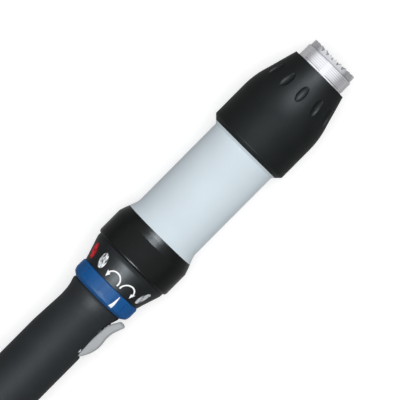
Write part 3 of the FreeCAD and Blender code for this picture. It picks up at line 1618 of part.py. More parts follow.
def make_rotor_magnets():
    """Curved magnets on the rotor core."""
    body = new_body("rotor_magnets")
    inside = s.rotor_radius + s.fit
    magnet = turn_profile(body, [
        (core_front, inside),
        (core_front, s.magnet_radius),
        (core_rear, s.magnet_radius),
        (core_rear, inside),
    ], "magnet", angle=s.magnet_angle.value)
    ring_pattern(body, [magnet], s.magnet_count, "magnets")
    return body


def slot_outline(floor, mouth, inset):
    """Give the cross-section of a stator slot, narrower by an inset on each side."""
    lean = math.tan(math.radians(s.slot_angle.value / 2))
    return [
        (mouth, mouth * lean - inset),
        (floor, floor * lean - inset),
        (floor, -(floor * lean - inset)),
        (mouth, -(mouth * lean - inset)),
    ]


def make_stator_core():
    """Laminated stator core with its slots."""
    body = new_body("stator_core")
    turn_profile(body, [
        (core_front, s.stator_bore),
        (core_front, s.housing_bore - s.fit),
        (core_rear, s.housing_bore - s.fit),
        (core_rear, s.stator_bore),
    ])
    sketch = sketch_on(body, "YZ_Plane", core_rear)
    draw_polygon(sketch, slot_outline(s.slot_floor, s.slot_mouth, ZERO))
    slot = extrude(body, sketch, core_length, "slot", "Pocket", reverse=True)
    ring_pattern(body, [slot], s.stator_slots, "slots")
    return body


def make_stator_windings():
    """Coils in the slots of the stator."""
    body = new_body("stator_windings")
    sketch = sketch_on(body, "YZ_Plane", coil_rear)
    inset = s.fit * 2
    draw_polygon(sketch, slot_outline(s.slot_floor - inset, s.slot_mouth + inset, inset))
    coil = extrude(body, sketch, coil_front - coil_rear, "coil")
    ring_pattern(body, [coil], s.stator_slots, "coils")
    return body


def make_encoder_disc():
    """Encoder disc on the rear end of the shaft."""
    body = new_body("encoder_disc")
    bore = s.shaft_radius + s.fit
    turn_profile(body, [
        (encoder_front, bore),
        (encoder_front, s.encoder_hub_radius),
        (encoder_rear + s.encoder_disc, s.encoder_hub_radius),
        (encoder_rear + s.encoder_disc, s.encoder_radius),
        (encoder_rear, s.encoder_radius),
        (encoder_rear, bore),
    ])
    return body


def make_encoder_board():
    """Round sensor board behind the encoder disc."""
    body = new_body("encoder_board")
    sketch = sketch_on(body, "YZ_Plane", encoder_board_rear)
    draw_circle(sketch, ZERO, ZERO, s.housing_bore - s.fit)
    extrude(body, sketch, s.board_thickness, "board")
    return body


def make_all():
    """Make every sub-part and return them in order."""
    parts = [
        make_crown_ring(), make_nose_collar(), make_nose_flange_screws(), make_spindle_bearings(),
        make_spindle_circlip(), make_output_spindle(), make_torque_transducer(), make_strain_gauges(),
        make_transducer_board(), make_nose_sleeve(), make_motor_housing(), make_rear_collar(),
        make_web_screws(), make_indicator_cone(), make_lenses("clear_lenses", CLEAR_WINDOWS),
        make_lenses("red_lenses", RED_WINDOWS), make_light_board(), make_status_lamps(),
        make_core_tube(), make_detent_ball(), make_direction_ring(), make_grip(), make_start_lever(),
        make_lever_pin(), make_lever_spring(), make_trigger_switch(), make_switch_plunger(),
        make_control_board(), make_board_parts(), make_motor_leads(), make_grip_cap(), make_cap_screws(),
        make_inlet_shell(), make_inlet_nut(), make_inlet_insert(), make_inlet_contacts(),
        make_ring_gear(), make_gear_bearing(), make_slow_carrier(), make_slow_pins(),
        make_fast_carrier(), make_fast_pins(),
        make_end_shield("motor_front_shield", gear_rear, sun_clearance, True),
        make_end_shield("motor_rear_shield", rear_shield_front, s.encoder_hub_radius, False),
        make_motor_bearings(), make_motor_shaft(), make_rotor_core(), make_rotor_magnets(),
        make_stator_core(), make_stator_windings(), make_encoder_disc(), make_encoder_board(),
    ]
    make_suns()
    parts += [doc.getObject("slow_sun"), doc.getObject("fast_sun")]
    parts += make_planets("slow", slow_planet_rear, s.slow_face)
    parts += make_planets("fast", fast_planet_rear, s.fast_face)
    return parts


def write_parts(parts):
    """Check every object and write one file for each sub-part."""
    doc.recompute()
    failed = [item.Name for item in doc.Objects if {"Invalid", "Error"} & set(item.State)]
    if failed:
        raise RuntimeError(f"failed objects: {failed}")
    faulty = [part.Label for part in parts if part.Shape.isNull() or not part.Shape.isValid()]
    if faulty:
        raise RuntimeError(f"no valid shape: {faulty}")
    os.makedirs("parts", exist_ok=True)
    for part in parts:
        part.Shape.exportStep(f"parts/{part.Label}.step")
        print(f"{part.Label:22} solids {len(part.Shape.Solids):2d}  volume {part.Shape.Volume:10.1f}")


write_parts(make_all())
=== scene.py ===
import logging
import math
from dataclasses import dataclass
from enum import Enum
from typing import Sequence

import bmesh
import bpy
from mathutils import Matrix, Vector


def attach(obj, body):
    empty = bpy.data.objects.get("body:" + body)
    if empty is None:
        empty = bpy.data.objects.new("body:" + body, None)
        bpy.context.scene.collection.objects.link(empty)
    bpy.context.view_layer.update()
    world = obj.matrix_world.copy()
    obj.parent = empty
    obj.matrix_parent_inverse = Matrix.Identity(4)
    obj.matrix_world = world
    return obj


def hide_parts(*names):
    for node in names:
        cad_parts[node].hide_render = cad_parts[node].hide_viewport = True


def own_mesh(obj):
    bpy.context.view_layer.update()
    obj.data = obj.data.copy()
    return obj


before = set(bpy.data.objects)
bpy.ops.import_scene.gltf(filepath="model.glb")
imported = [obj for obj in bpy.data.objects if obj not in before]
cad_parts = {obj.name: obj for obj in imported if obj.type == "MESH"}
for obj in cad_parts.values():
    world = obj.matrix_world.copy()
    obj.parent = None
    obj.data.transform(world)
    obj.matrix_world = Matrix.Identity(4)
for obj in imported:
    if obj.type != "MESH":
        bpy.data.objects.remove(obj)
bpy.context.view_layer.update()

logging.basicConfig(level=logging.INFO, format="%(message)s")
log = logging.getLogger("nutrunner")

MM = 0.001
FULL_TURN = 2 * math.pi

Colour = tuple[float, float, float, float]
Point = tuple[float, float, float]
Outline = Sequence[tuple[float, float]]
Tree = bpy.types.NodeTree
Socket = bpy.types.NodeSocket
Mesh = bmesh.types.BMesh
Vertex = bmesh.types.BMVert


# Colours and nodes


def linear(code: str) -> Colour:
    """Turn an sRGB hex colour into linear light, by the sRGB curve's own numbers.

    Args:
        code: Six hex digits after a hash sign.

    Returns:
        Red, green, blue and an alpha of 1.
    """
    values = [int(code[i:i + 2], 16) / 255 for i in (1, 3, 5)]
    red, green, blue = [v / 12.92 if v <= 0.04045 else ((v + 0.055) / 1.055) ** 2.4 for v in values]
    return red, green, blue, 1.0


def toned(colour: Colour, gain: float, white: float = 0.0) -> Colour:
    """Make a colour lighter or darker.

    Args:
        colour: The linear colour.
        gain: What each part of it is multiplied by.
        white: What is added to each part of it.

    Returns:
        The new colour, no lighter than white.
    """
    red, green, blue = [min(1.0, value * gain + white) for value in colour[:3]]
    return red, green, blue, 1.0


def add_node(tree: Tree, kind: str, links: dict | None = None, **settings) -> bpy.types.Node:
    """Add a node with its settings and its links.

    Args:
        tree: The node tree.
        kind: The node's type name, without "ShaderNode".
        links: Input name or index to a number, a colour or an output socket.
        **settings: Properties of the node.

    Returns:
        The new node.
    """
    node = tree.nodes.new("ShaderNode" + kind)
    for name, value in settings.items():
        setattr(node, name, value)
    for name, value in (links or {}).items():
        if isinstance(value, Socket):
            tree.links.new(value, node.inputs[name])
        else:
            node.inputs[name].default_value = value
    return node


class Grain(Enum):
    """How a surface was made, which gives its pattern."""

    MOULDED = "fine spark-eroded grain of a moulding tool"
    TURNED = "rings left by the lathe"
    # Threaded: the darker roots of the thread are painted shade.
    THREADED = "rings left by the lathe, with oil in the roots of the thread"
    GROUND = "fine even scratches"
    LAMINATED = "stack of thin sheets"
    WOUND = "turns of enamelled wire"
    PRINTED = "copper tracks under solder mask"
    # Reeded: the light and dark streaks are a painted reflection.
    REEDED = "thin reeds that throw light back in streaks"
    DIVIDED = "radial lines of a code disc"


# Sizes of the patterns that every finish shares, in millimetres

# Soft patches of tone that moulding and handling leave
CLOUD_MM = 22.22
# Handling marks, which change the gloss
MARK_MM = 11.11
# Chips along a rubbed edge, and breaks along a painted highlight on an edge
EDGE_BREAK_MM = 1.43
# Width of a rubbed edge, and of a painted highlight along an edge
RUB_AND_HIGHLIGHT_MM = 0.35
# Width up to which a gap gets painted shade
SHADE_GAP_MM = 1.6


# Levels, counts and shares of the patterns

# Darkest and lightest cloud, as levels of the noise
CLOUD_LEVELS = {"From Min": 0.3, "From Max": 0.7}
# How far the tone rises in a light cloud, as a share of how far it falls in a dark one
LIGHT_SHARE = 0.5
# Glossiest and dullest mark, as levels of the noise and the grain together
MARK_LEVELS = {"From Min": 0.6, "From Max": 1.4}
# Change of the roughness on the glossiest and on the dullest mark
GLOSS_SPREAD = 0.12
# Share of open sky at which the painted shade in a gap is darkest, and at which it fades out
GAP_SHADE_LEVELS = {"From Min": 0.35, "From Max": 0.85}
# Agreement of the rounded and the true normal on a flat face and on an edge at its fullest rubbing and
# painted highlight
EDGE_LEVELS = {"From Min": 1.0, "From Max": 0.9}
# The colour of a rubbed edge, and of a painted highlight on an edge, is the colour times the gain, with a
# little white
RUB_AND_HIGHLIGHT_GAIN = 1.6
RUB_AND_HIGHLIGHT_WHITE = 0.04
# Rays that look round each place for edges and gaps
LOOK_RAYS = 4
# Scale of a pattern along the tool, which draws scratches and reeds out lengthways
LENGTHWAYS = {Grain.MOULDED: 1.0, Grain.GROUND: 0.15, Grain.REEDED: 0.3}
# Dark and bright streak of a reed, a painted reflection, as levels of the noise
REED_LEVELS = {"From Min": 0.36, "From Max": 0.62}
# Edge of a copper track, as distances from the middle of its cell
TRACK_LEVELS = {"From Min": 0.42, "From Max": 0.5}
# How unevenly the tracks lie
TRACK_DISORDER = 0.6
# Length of one diagonal band of the wave texture at a scale of 1
BAND_LENGTH = 0.3628
# How far the turns of wire wander
WIRE_WANDER = 0.6
# Lines round the code disc. A real one has hundreds, too fine to show, so they are drawn coarser.
CODE_LINES = 60.0
# Softness of a code line's edge
CODE_EDGE = 0.2


@dataclass(frozen=True)
class Finish:
    """A surface as its maker would order it.

    Colours are sRGB hex codes and lengths are millimetres. Real moulding grain, lathe rings and grinding
    scratches are about 0.05 to 0.1 mm wide. They are too fine to show, so grain_mm draws them as coarse as
    they need to show. The IOR of 1.5 is typical of plastics and paint, and metals keep it as the default.

    Attributes:
        name: What the surface is and how it was made.
        colour: Main colour.
        roughness: Middle of the roughness.
        grain: How the surface was made.
        grain_mm: Width of one grain, ring, scratch, sheet, wire, track or reed. A code disc has none.
        depth_mm: Depth of the grain.
        crest_mm: Radius at which a thread has no painted shade.
        root_mm: Radius at which a thread has its full painted shade.
        second: Second colour, or nothing where the grain only darkens the main one.
        metallic: 1 for bare metal.
        specular: Strength of the reflection, below 0.5 where the skin is dulled.
        coat: Strength of a clear coat.
        coat_roughness: Roughness of the clear coat.
        ior: Index of refraction.
        glow: Light given off, a painted glow on a part that is no lamp.
        patch: How much the tone varies.
        wear_and_highlight: How much the sharp edges are lightened, from 0 to 1: rubbed on the screws, a
            painted highlight on the ring, and partly both on the crown.
        painted_gap_shade: How dark the painted shade in each gap is, from 0 to 1.
    """

    name: str
    colour: str
    roughness: float
    grain: Grain = Grain.MOULDED
    grain_mm: float = 0.6
    depth_mm: float = 0.02
    crest_mm: float = 0.0
    root_mm: float = 0.0
    second: str = ""
    metallic: float = 0.0
    specular: float = 0.5
    coat: float = 0.0
    coat_roughness: float = 0.1
    ior: float = 1.5
    glow: float = 0.0
    patch: float = 0.12
    wear_and_highlight: float = 0.0
    painted_gap_shade: float = 0.0

    def build(self) -> bpy.types.Material:
        """Make the material.

        Returns:
            The finished material.
        """
        material = bpy.data.materials.new(self.name)
        material.use_nodes = True
        tree = material.node_tree
        tree.nodes.clear()
        coords = add_node(tree, "TexCoord").outputs["Object"]
        height, mask = self.pattern(tree, coords)
        colour = self.tint(tree, coords, mask)
        rough = self.gloss(tree, coords, mask)
        bump = add_node(tree, "Bump", {"Strength": 1.0, "Distance": self.depth_mm * MM, "Height": height})
        shader = add_node(tree, "BsdfPrincipled", {
            "Base Color": colour, "Roughness": rough, "Normal": bump.outputs[0],
            "Metallic": self.metallic, "IOR": self.ior,
            "Specular IOR Level": self.specular, "Coat Weight": self.coat,
            "Coat Roughness": self.coat_roughness})
        # Painted glow: the part gives off light though it is no lamp.
        if self.glow:
            shader.inputs["Emission Color"].default_value = linear(self.colour)
            shader.inputs["Emission Strength"].default_value = self.glow
        add_node(tree, "OutputMaterial", {"Surface": shader.outputs[0]})
        return material

    def pattern(self, tree: Tree, coords: Socket) -> tuple[Socket, Socket]:
        """Draw the surface's own pattern.

        Args:
            tree: The node tree.
            coords: Object coordinates in metres.

        Returns:
            The height of the surface and the mask of its second colour, both from 0 to 1.
        """
        if self.grain in (Grain.TURNED, Grain.THREADED):
            return self.rings(tree, coords)
        if self.grain is Grain.LAMINATED:
            station = self.polar(tree, coords)[0]
            level = self.ripple(tree, station, FULL_TURN * self.per_metre(), 1.0)
        elif self.grain is Grain.DIVIDED:
            angle = self.polar(tree, coords)[2]
            level = self.ripple(tree, angle, CODE_LINES, CODE_EDGE)
        elif self.grain is Grain.WOUND:
            level = add_node(tree, "TexWave", {
                "Vector": coords, "Scale": self.per_metre() * BAND_LENGTH, "Distortion": WIRE_WANDER,
            }, bands_direction="DIAGONAL").outputs[0]
        elif self.grain is Grain.PRINTED:
            tracks = add_node(tree, "TexVoronoi", {
                "Vector": coords, "Scale": self.per_metre(), "Randomness": TRACK_DISORDER,
            }, distance="MANHATTAN").outputs["Distance"]
            level = add_node(tree, "MapRange", {"Value": tracks, **TRACK_LEVELS}).outputs[0]
        else:
            level = self.speckle(tree, coords)
        return level, level

    def per_metre(self) -> float:
        """Give how many grains lie side by side in a metre."""
        return 1 / (self.grain_mm * MM)

    def polar(self, tree: Tree, coords: Socket) -> tuple[Socket, Socket, Socket]:
        """Split a place into parts that suit a round tool.

        Args:
            tree: The node tree.
            coords: Object coordinates in metres.

        Returns:
            The station along the tool, the distance from its axis and the angle round it.
        """
        parts = add_node(tree, "SeparateXYZ", {0: coords}).outputs
        flat = add_node(tree, "CombineXYZ", {1: parts[1], 2: parts[2]}).outputs[0]
        radius = add_node(tree, "VectorMath", {0: flat}, operation="LENGTH").outputs["Value"]
        angle = add_node(tree, "Math", {0: parts[2], 1: parts[1]}, operation="ARCTAN2").outputs[0]
        return parts[0], radius, angle

    def speckle(self, tree: Tree, coords: Socket) -> Socket:
        """Draw a grain, scratches or reeds.

        Args:
            tree: The node tree.
            coords: Object coordinates in metres.

        Returns:
            The height of the surface.
        """
        reeded = self.grain is Grain.REEDED
        place = add_node(tree, "Mapping", {
            "Vector": coords, "Scale": (LENGTHWAYS[self.grain], 1.0, 1.0)}).outputs[0]
        noise = add_node(tree, "TexNoise", {
            "Vector": place, "Scale": self.per_metre(), "Detail": 1.0 if reeded else 2.0}).outputs[0]
        if not reeded:
            return noise
        # A reed's light and dark streaks, which mix the two colours, are a painted reflection.
        return add_node(tree, "MapRange", {"Value": noise, **REED_LEVELS}).outputs[0]

    def rings(self, tree: Tree, coords: Socket) -> tuple[Socket, Socket]:
        """Draw the rings of a lathe, with painted shade in the roots where there is a thread.

        Args:
            tree: The node tree.
            coords: Object coordinates in metres.

        Returns:
            The height of the rings and the mask of the second colour.
        """
        station, radius, _ = self.polar(tree, coords)
        place = add_node(tree, "CombineXYZ", {0: station, 1: radius}).outputs[0]
        noise = add_node(tree, "TexNoise", {
            "Vector": place, "Scale": self.per_metre(), "Detail": 3.0}).outputs[0]
        if self.grain is Grain.TURNED:
            return noise, noise
        # The darker roots of a thread are painted shade.
        return noise, add_node(tree, "MapRange", {
            "Value": radius, "From Min": self.crest_mm * MM, "From Max": self.root_mm * MM}).outputs[0]

    def ripple(self, tree: Tree, value: Socket, rate: float, crest: float) -> Socket:
        """Turn a value into waves.

        Args:
            tree: The node tree.
            value: The value.
            rate: Radians of the wave for each unit of the value.
            crest: Share of the wave's height that is kept. A small one makes steep waves.

        Returns:
            The waves, from 0 to 1.
        """
        turns = add_node(tree, "Math", {0: value, 1: rate}, operation="MULTIPLY").outputs[0]
        wave = add_node(tree, "Math", {0: turns}, operation="SINE").outputs[0]
        return add_node(tree, "MapRange", {"Value": wave, "From Min": -crest, "From Max": crest}).outputs[0]

    def tint(self, tree: Tree, coords: Socket, mask: Socket) -> Socket:
        """Vary the colour over the surface, paint shade into each gap, and lighten its sharp edges by rubbing
        and with a painted highlight.

        Args:
            tree: The node tree.
            coords: Object coordinates in metres.
            mask: Where the second colour shows.

        Returns:
            The colour.
        """
        base = linear(self.colour)
        other = linear(self.second) if self.second else toned(base, 1 - self.patch)
        mixed = add_node(tree, "Mix", {0: mask, 6: base, 7: other}, data_type="RGBA").outputs[2]
        cloud = add_node(tree, "TexNoise", {
            "Vector": coords, "Scale": 1 / (CLOUD_MM * MM), "Detail": 3.0}).outputs[0]
        shade = add_node(tree, "MapRange", {
            "Value": cloud, **CLOUD_LEVELS,
            "To Min": 1 - self.patch, "To Max": 1 + self.patch * LIGHT_SHARE}).outputs[0]
        # Painted shade: the colour is darkened in each gap.
        if self.painted_gap_shade:
            shade = add_node(tree, "Math", {0: shade, 1: self.paint_gap_shade(tree)}, operation="MULTIPLY").outputs[0]
        shaded = add_node(tree, "VectorMath", {0: mixed, "Scale": shade}, operation="SCALE").outputs[0]
        # Lighter edges: rubbing on some finishes, a painted highlight on others.
        if not self.wear_and_highlight:
            return shaded
        edge = self.edges(tree, coords)
        bright = toned(base, RUB_AND_HIGHLIGHT_GAIN, RUB_AND_HIGHLIGHT_WHITE)
        return add_node(tree, "Mix", {0: edge, 6: shaded, 7: bright}, data_type="RGBA").outputs[2]

    def paint_gap_shade(self, tree: Tree) -> Socket:
        """Paint shade into each gap, by how little open sky it sees.

        Args:
            tree: The node tree.

        Returns:
            What the colour is multiplied by: 1 on an open face, and less in a gap.
        """
        sky = add_node(tree, "AmbientOcclusion", {"Distance": SHADE_GAP_MM * MM}, samples=LOOK_RAYS).outputs["AO"]
        return add_node(tree, "MapRange", {"Value": sky, **GAP_SHADE_LEVELS, "To Min": 1 - self.painted_gap_shade}).outputs[0]

    def edges(self, tree: Tree, coords: Socket) -> Socket:
        """Find the sharp edges, where handling rubs the surface and where a painted highlight lies.

        Args:
            tree: The node tree.
            coords: Object coordinates in metres.

        Returns:
            How much of the lighter colour of a rubbed edge and of a painted highlight shows, uneven along the
            edge.
        """
        soft = add_node(tree, "Bevel", {"Radius": RUB_AND_HIGHLIGHT_MM * MM}, samples=LOOK_RAYS).outputs[0]
        true = add_node(tree, "NewGeometry").outputs["Normal"]
        level = add_node(tree, "VectorMath", {0: soft, 1: true}, operation="DOT_PRODUCT").outputs["Value"]
        near = add_node(tree, "MapRange", {"Value": level, **EDGE_LEVELS, "To Max": self.wear_and_highlight}).outputs[0]
        chips = add_node(tree, "TexNoise", {
            "Vector": coords, "Scale": 1 / (EDGE_BREAK_MM * MM), "Detail": 2.0}).outputs[0]
        return add_node(tree, "Math", {0: near, 1: chips}, operation="MULTIPLY").outputs[0]

    def gloss(self, tree: Tree, coords: Socket, mask: Socket) -> Socket:
        """Vary the roughness with handling marks and with the grain.

        Args:
            tree: The node tree.
            coords: Object coordinates in metres.
            mask: The grain.

        Returns:
            The roughness.
        """
        marks = add_node(tree, "TexNoise", {
            "Vector": coords, "Scale": 1 / (MARK_MM * MM), "Detail": 4.0}).outputs[0]
        level = add_node(tree, "Math", {0: marks, 1: mask}, operation="ADD").outputs[0]
        return add_node(tree, "MapRange", {
            "Value": level, **MARK_LEVELS, "To Min": self.roughness * (1 - GLOSS_SPREAD),
            "To Max": self.roughness * (1 + GLOSS_SPREAD)}).outputs[0]


# Every finish of the tool, by the slot that wears it

FINISHES: dict[str, Finish] = {
    # Spark-eroded polyamide: nearly black, with a fine grain that spreads the light into a soft gloss.
    "sleeve_black": Finish("spark_eroded_polyamide_sleeve", "#141717", 0.5, grain_mm=0.45, depth_mm=0.03,
                           specular=0.06, patch=0.14),
    # Polished polyamide: the same black with a sharper, brighter reflection.
    "collar_black": Finish("polished_polyamide_collar", "#131515", 0.3, grain_mm=1.2, depth_mm=0.004,
                           specular=0.07, patch=0.1),
    # Satin polyamide under the printed arrows: its reflection fades out at the ends.
    "cone_black": Finish("satin_polyamide_cone", "#181b1c", 0.43, grain_mm=0.5, depth_mm=0.008,
                         specular=0.085, patch=0.12),
    # Soft-touch elastomer: matt charcoal with no clear reflection.
    "grip_black": Finish("soft_touch_elastomer_grip", "#232628", 0.56, grain_mm=0.5, depth_mm=0.03,
                         specular=0.075, patch=0.14),
    # Spark-eroded polyamide of the rear cap: satin black, a little glossier than the sleeve.
    "cap_black": Finish("spark_eroded_polyamide_cap", "#1a1c1e", 0.5, grain_mm=0.5, depth_mm=0.015,
                        specular=0.1),
    # Powder-coated aluminium: cool light grey with a satin orange-peel skin.
    "housing_grey": Finish("powder_coated_aluminium_housing", "#ced9df", 0.45, grain_mm=1.4, depth_mm=0.006,
                           patch=0.025, specular=0.1),
    # Acetal dyed through: clear satin blue, with a painted highlight on the edges of its ribs and painted
    # shade between them.
    "ring_blue": Finish("moulded_blue_acetal_ring", "#025292", 0.56, grain_mm=0.7, depth_mm=0.008,
                        specular=0.1, patch=0.14, wear_and_highlight=0.9, painted_gap_shade=0.9),
    # Moulded ABS: even mid grey with a satin skin.
    "lever_grey": Finish("moulded_abs_lever", "#a9acae", 0.5, grain_mm=0.5, depth_mm=0.012, specular=0.15,
                         patch=0.06),
    # Screen-printed ink: flat white with hardly a reflection.
    "print_white": Finish("screen_printed_white_ink", "#ffffff", 0.6, grain_mm=0.3, depth_mm=0.004,
                          specular=0.05, patch=0.02),
    # Turned and hardened steel of the crown: bright, with tooth edges lightened partly by rubbing and partly
    # by a painted highlight, and painted shade between the teeth.
    "bright_steel": Finish("turned_hardened_steel_crown", "#c6c6c9", 0.34, Grain.TURNED, 0.14, 0.006,
                           metallic=1.0, wear_and_highlight=0.6, patch=0.18, painted_gap_shade=0.9),
    # Turned steel of the nose: bright crests, and painted shade in the roots.
    "nose_steel": Finish("turned_steel_nose", "#e6e5e8", 0.4, Grain.THREADED, 0.2, 0.006, 19.2, 18.88,
                         second="#b7b6ba", metallic=1.0, patch=0.1),
    # Flats milled across the thread: smooth faces that break the thread's lines.
    "nose_flat": Finish("milled_steel_flats", "#dddce0", 0.3, Grain.GROUND, 0.2, 0.003, metallic=1.0,
                        patch=0.06),
    # Ground steel of the spindle: dark, with a tight reflection that the rings draw out.
    "spindle_steel": Finish("ground_steel_spindle", "#7c7e80", 0.25, Grain.TURNED, 0.1, 0.004, metallic=1.0),
    # Turned steel of the measuring tube: mid grey, with rings that show.
    "transducer_steel": Finish("turned_steel_transducer", "#9b9da0", 0.3, Grain.TURNED, 0.16, 0.006,
                               metallic=1.0),
    # Ground bearing steel: the smoothest metal here, close to a mirror.
    "bearing_steel": Finish("ground_bearing_steel", "#a3a5a8", 0.18, Grain.TURNED, 0.08, 0.002, metallic=1.0),
    # Blackened spring steel and pin: dark, so that they don't show beside the lever.
    "spring_steel": Finish("blackened_spring_steel", "#1d1e20", 0.45, Grain.GROUND, 0.1, 0.004, metallic=0.4,
                           specular=0.15),
    # Case-hardened and ground gear steel: grey, with a broad even shine.
    "gear_steel": Finish("case_hardened_gear_steel", "#8e9092", 0.32, Grain.GROUND, 0.2, 0.006, metallic=1.0),
    # Black-oxide screws: dark steel that shines where the tool has turned them.
    "black_screw_steel": Finish("black_oxide_steel_screws", "#2b2c2e", 0.35, Grain.TURNED, 0.12, 0.004,
                                metallic=0.8, wear_and_highlight=0.7),
    # Black-anodised core: its edge shows as the dark line on each side of the ring.
    "core_aluminium": Finish("black_anodised_aluminium_core", "#26282b", 0.4, Grain.TURNED, 0.2, 0.006,
                             metallic=0.5, specular=0.2),
    # Nickel-plated brass: warm silver with a clear reflection.
    "inlet_nickel": Finish("nickel_plated_brass_inlet", "#b0ada4", 0.24, Grain.TURNED, 0.15, 0.004,
                           metallic=1.0),
    # Gold-plated contacts: yellow, and smooth enough to glint.
    "contact_gold": Finish("gold_plated_contacts", "#d8ab52", 0.2, Grain.TURNED, 0.1, 0.002, metallic=1.0),
    # Enamelled copper wire: red-brown turns with painted shade between them. The wire is drawn coarser than
    # its real 0.5 mm so that it shows.
    "winding_copper": Finish("enamelled_copper_winding", "#9a4f25", 0.35, Grain.WOUND, 1.134, 0.08,
                             second="#5c2a14", metallic=0.6),
    # Stacked sheet steel: a light and a dark stripe for each sheet.
    "core_laminations": Finish("stacked_sheet_steel", "#6f7376", 0.4, Grain.LAMINATED, 0.5, 0.03,
                               second="#3f4244", metallic=0.8),
    # Nickel-coated magnets: dark silver with even scratches.
    "magnet_dark": Finish("nickel_coated_magnets", "#6c6e72", 0.3, Grain.GROUND, 0.3, 0.004, metallic=0.9),
    # Etched foil of the strain gauges: golden stripes on a brown carrier.
    "gauge_foil": Finish("etched_gauge_foil", "#b98a3c", 0.4, Grain.LAMINATED, 0.6, 0.01, second="#6e4a1a",
                         metallic=0.3),
    # Solder mask on glass fibre: dark green, lighter where copper runs under it.
    "circuit_board": Finish("solder_mask_glass_fibre", "#12502c", 0.38, Grain.PRINTED, 2.2, 0.03,
                            second="#1f7a44"),
    # Etched metal disc: silver with black lines that run out from its middle.
    "encoder_disc": Finish("etched_metal_disc", "#c0c3c6", 0.2, Grain.DIVIDED, depth_mm=0.004,
                           second="#1c1d1f", metallic=0.7),
    # Clear polycarbonate: silvery, with light and dark streaks on its reeded back that are a painted
    # reflection.
    "lens_clear": Finish("reeded_clear_polycarbonate", "#4c5054", 0.22, Grain.REEDED, 1.3, 0.1,
                         second="#f4f6f8", metallic=0.5, specular=0.3, coat=0.1),
    # Red polycarbonate: deep red with lighter streaks of painted reflection, and a painted glow.
    "lens_red": Finish("reeded_red_polycarbonate", "#86040f", 0.3, Grain.REEDED, 1.3, 0.04, second="#e0303c",
                       specular=0.03, glow=0.2),
    # Cast epoxy of a lamp: cream with a clear gloss.
    "lamp_body": Finish("cast_epoxy_lamps", "#e8e4d2", 0.3, patch=0.05),
    # Moulded case of the switch: blue-black and satin.
    "switch_case": Finish("moulded_polyester_switch", "#22252b", 0.45, grain_mm=0.4),
    # Moulded acetal: waxy white.
    "plunger_white": Finish("moulded_acetal_plunger", "#e6e5df", 0.35, patch=0.04),
    # Moulded epoxy of the electronic parts: charcoal, with an uneven tone.
    "board_parts": Finish("moulded_epoxy_parts", "#2c2d31", 0.4, Grain.GROUND, 0.6, 0.01, patch=0.25),
    # Extruded silicone: dull red with a smooth skin.
    "lead_jacket": Finish("extruded_silicone_jackets", "#a3262a", 0.4, grain_mm=0.8),
    # Glass-filled polyamide: black, dulled by the fibres in its skin.
    "insert_black": Finish("glass_filled_polyamide_insert", "#17181a", 0.5, grain_mm=0.4, depth_mm=0.02,
                           specular=0.2),
}


class Paintshop:
    """Builds each finish once and hands it out."""

    def __init__(self) -> None:
        """Start with no finish built."""
        self.built: dict[str, bpy.types.Material] = {}

    def get(self, slot: str) -> bpy.types.Material:
        """Give the material of a slot.

        Args:
            slot: A key of the finishes.

        Returns:
            The material, the same one each time.
        """
        if slot not in self.built:
            self.built[slot] = FINISHES[slot].build()
        return self.built[slot]

    def dress_frame(self) -> None:
        """Give every solid of the frame the finish that its own slot names."""
        for name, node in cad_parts.items():
            for index, old in enumerate(node.data.materials):
                slot = old.name.split(".")[0]
                node.data.materials[index] = self.get(slot)
            log.info("dressed %s", name)


# Mesh building in millimetres

# Vertices nearer than this become one
MERGE_MM = 0.0005
# A place this near to a size counts as on it
NEAR_MM = 0.01
# Degrees below which an edge of a plain piece, and of a threaded one, is shaded smooth
SMOOTH_PLAIN = 30.0
SMOOTH_THREADED = 25.0


def place_piece(bm: Mesh, name: str, material: bpy.types.Material, body: str,
                smooth_below: float = SMOOTH_PLAIN) -> bpy.types.Object:
    """Turn a finished bmesh, drawn in millimetres, into a piece that rides on a body.

    Args:
        bm: The mesh, which is freed.
        name: The piece's name.
        material: Its finish.
        body: The body that it moves with.
        smooth_below: Angle in degrees below which an edge is shaded smooth.

    Returns:
        The object.
    """
    bmesh.ops.remove_doubles(bm, verts=bm.verts, dist=MERGE_MM)
    bmesh.ops.recalc_face_normals(bm, faces=bm.faces)
    bmesh.ops.scale(bm, vec=(MM, MM, MM), verts=bm.verts)
    mesh = bpy.data.meshes.new(name)
    for face in bm.faces:
        face.smooth = True
    limit = math.radians(smooth_below)
    for edge in bm.edges:
        edge.smooth = len(edge.link_faces) == 2 and edge.calc_face_angle(0.0) < limit
    bm.to_mesh(mesh)
    bm.free()
    mesh.materials.append(material)
    piece = bpy.data.objects.new(name, mesh)
    bpy.context.scene.collection.objects.link(piece)
    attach(piece, body)
    log.info("built %s with %d faces", name, len(mesh.polygons))
    return piece


def lathe(bm: Mesh, outline: Outline, steps: int) -> list[Vertex]:
    """Spin a closed outline of stations and radii about the tool axis.

    Args:
        bm: The mesh to add to.
        outline: Stations and radii in millimetres, in order round the section.
        steps: Steps of the full turn.

    Returns:
        The new vertices.
    """
    before = set(bm.verts)
    corners = [bm.verts.new((station, radius, 0.0)) for station, radius in outline]
    edges = [bm.edges.new((corners[i - 1], corners[i])) for i in range(len(corners))]
    bmesh.ops.spin(bm, geom=corners + edges, cent=(0, 0, 0), axis=(1, 0, 0), angle=FULL_TURN, steps=steps,
                   use_merge=True)
    return [vert for vert in bm.verts if vert not in before]


def polar_of(place: Vector) -> tuple[float, float]:
    """Give a place's distance from the tool axis and its angle round it."""
    return math.hypot(place.y, place.z), math.atan2(place.z, place.y)


def set_radius(vert: Vertex, turn: float, radius: float) -> None:
    """Put a vertex at an angle and a distance from the tool axis."""
    vert.co.y, vert.co.z = math.cos(turn) * radius, math.sin(turn) * radius


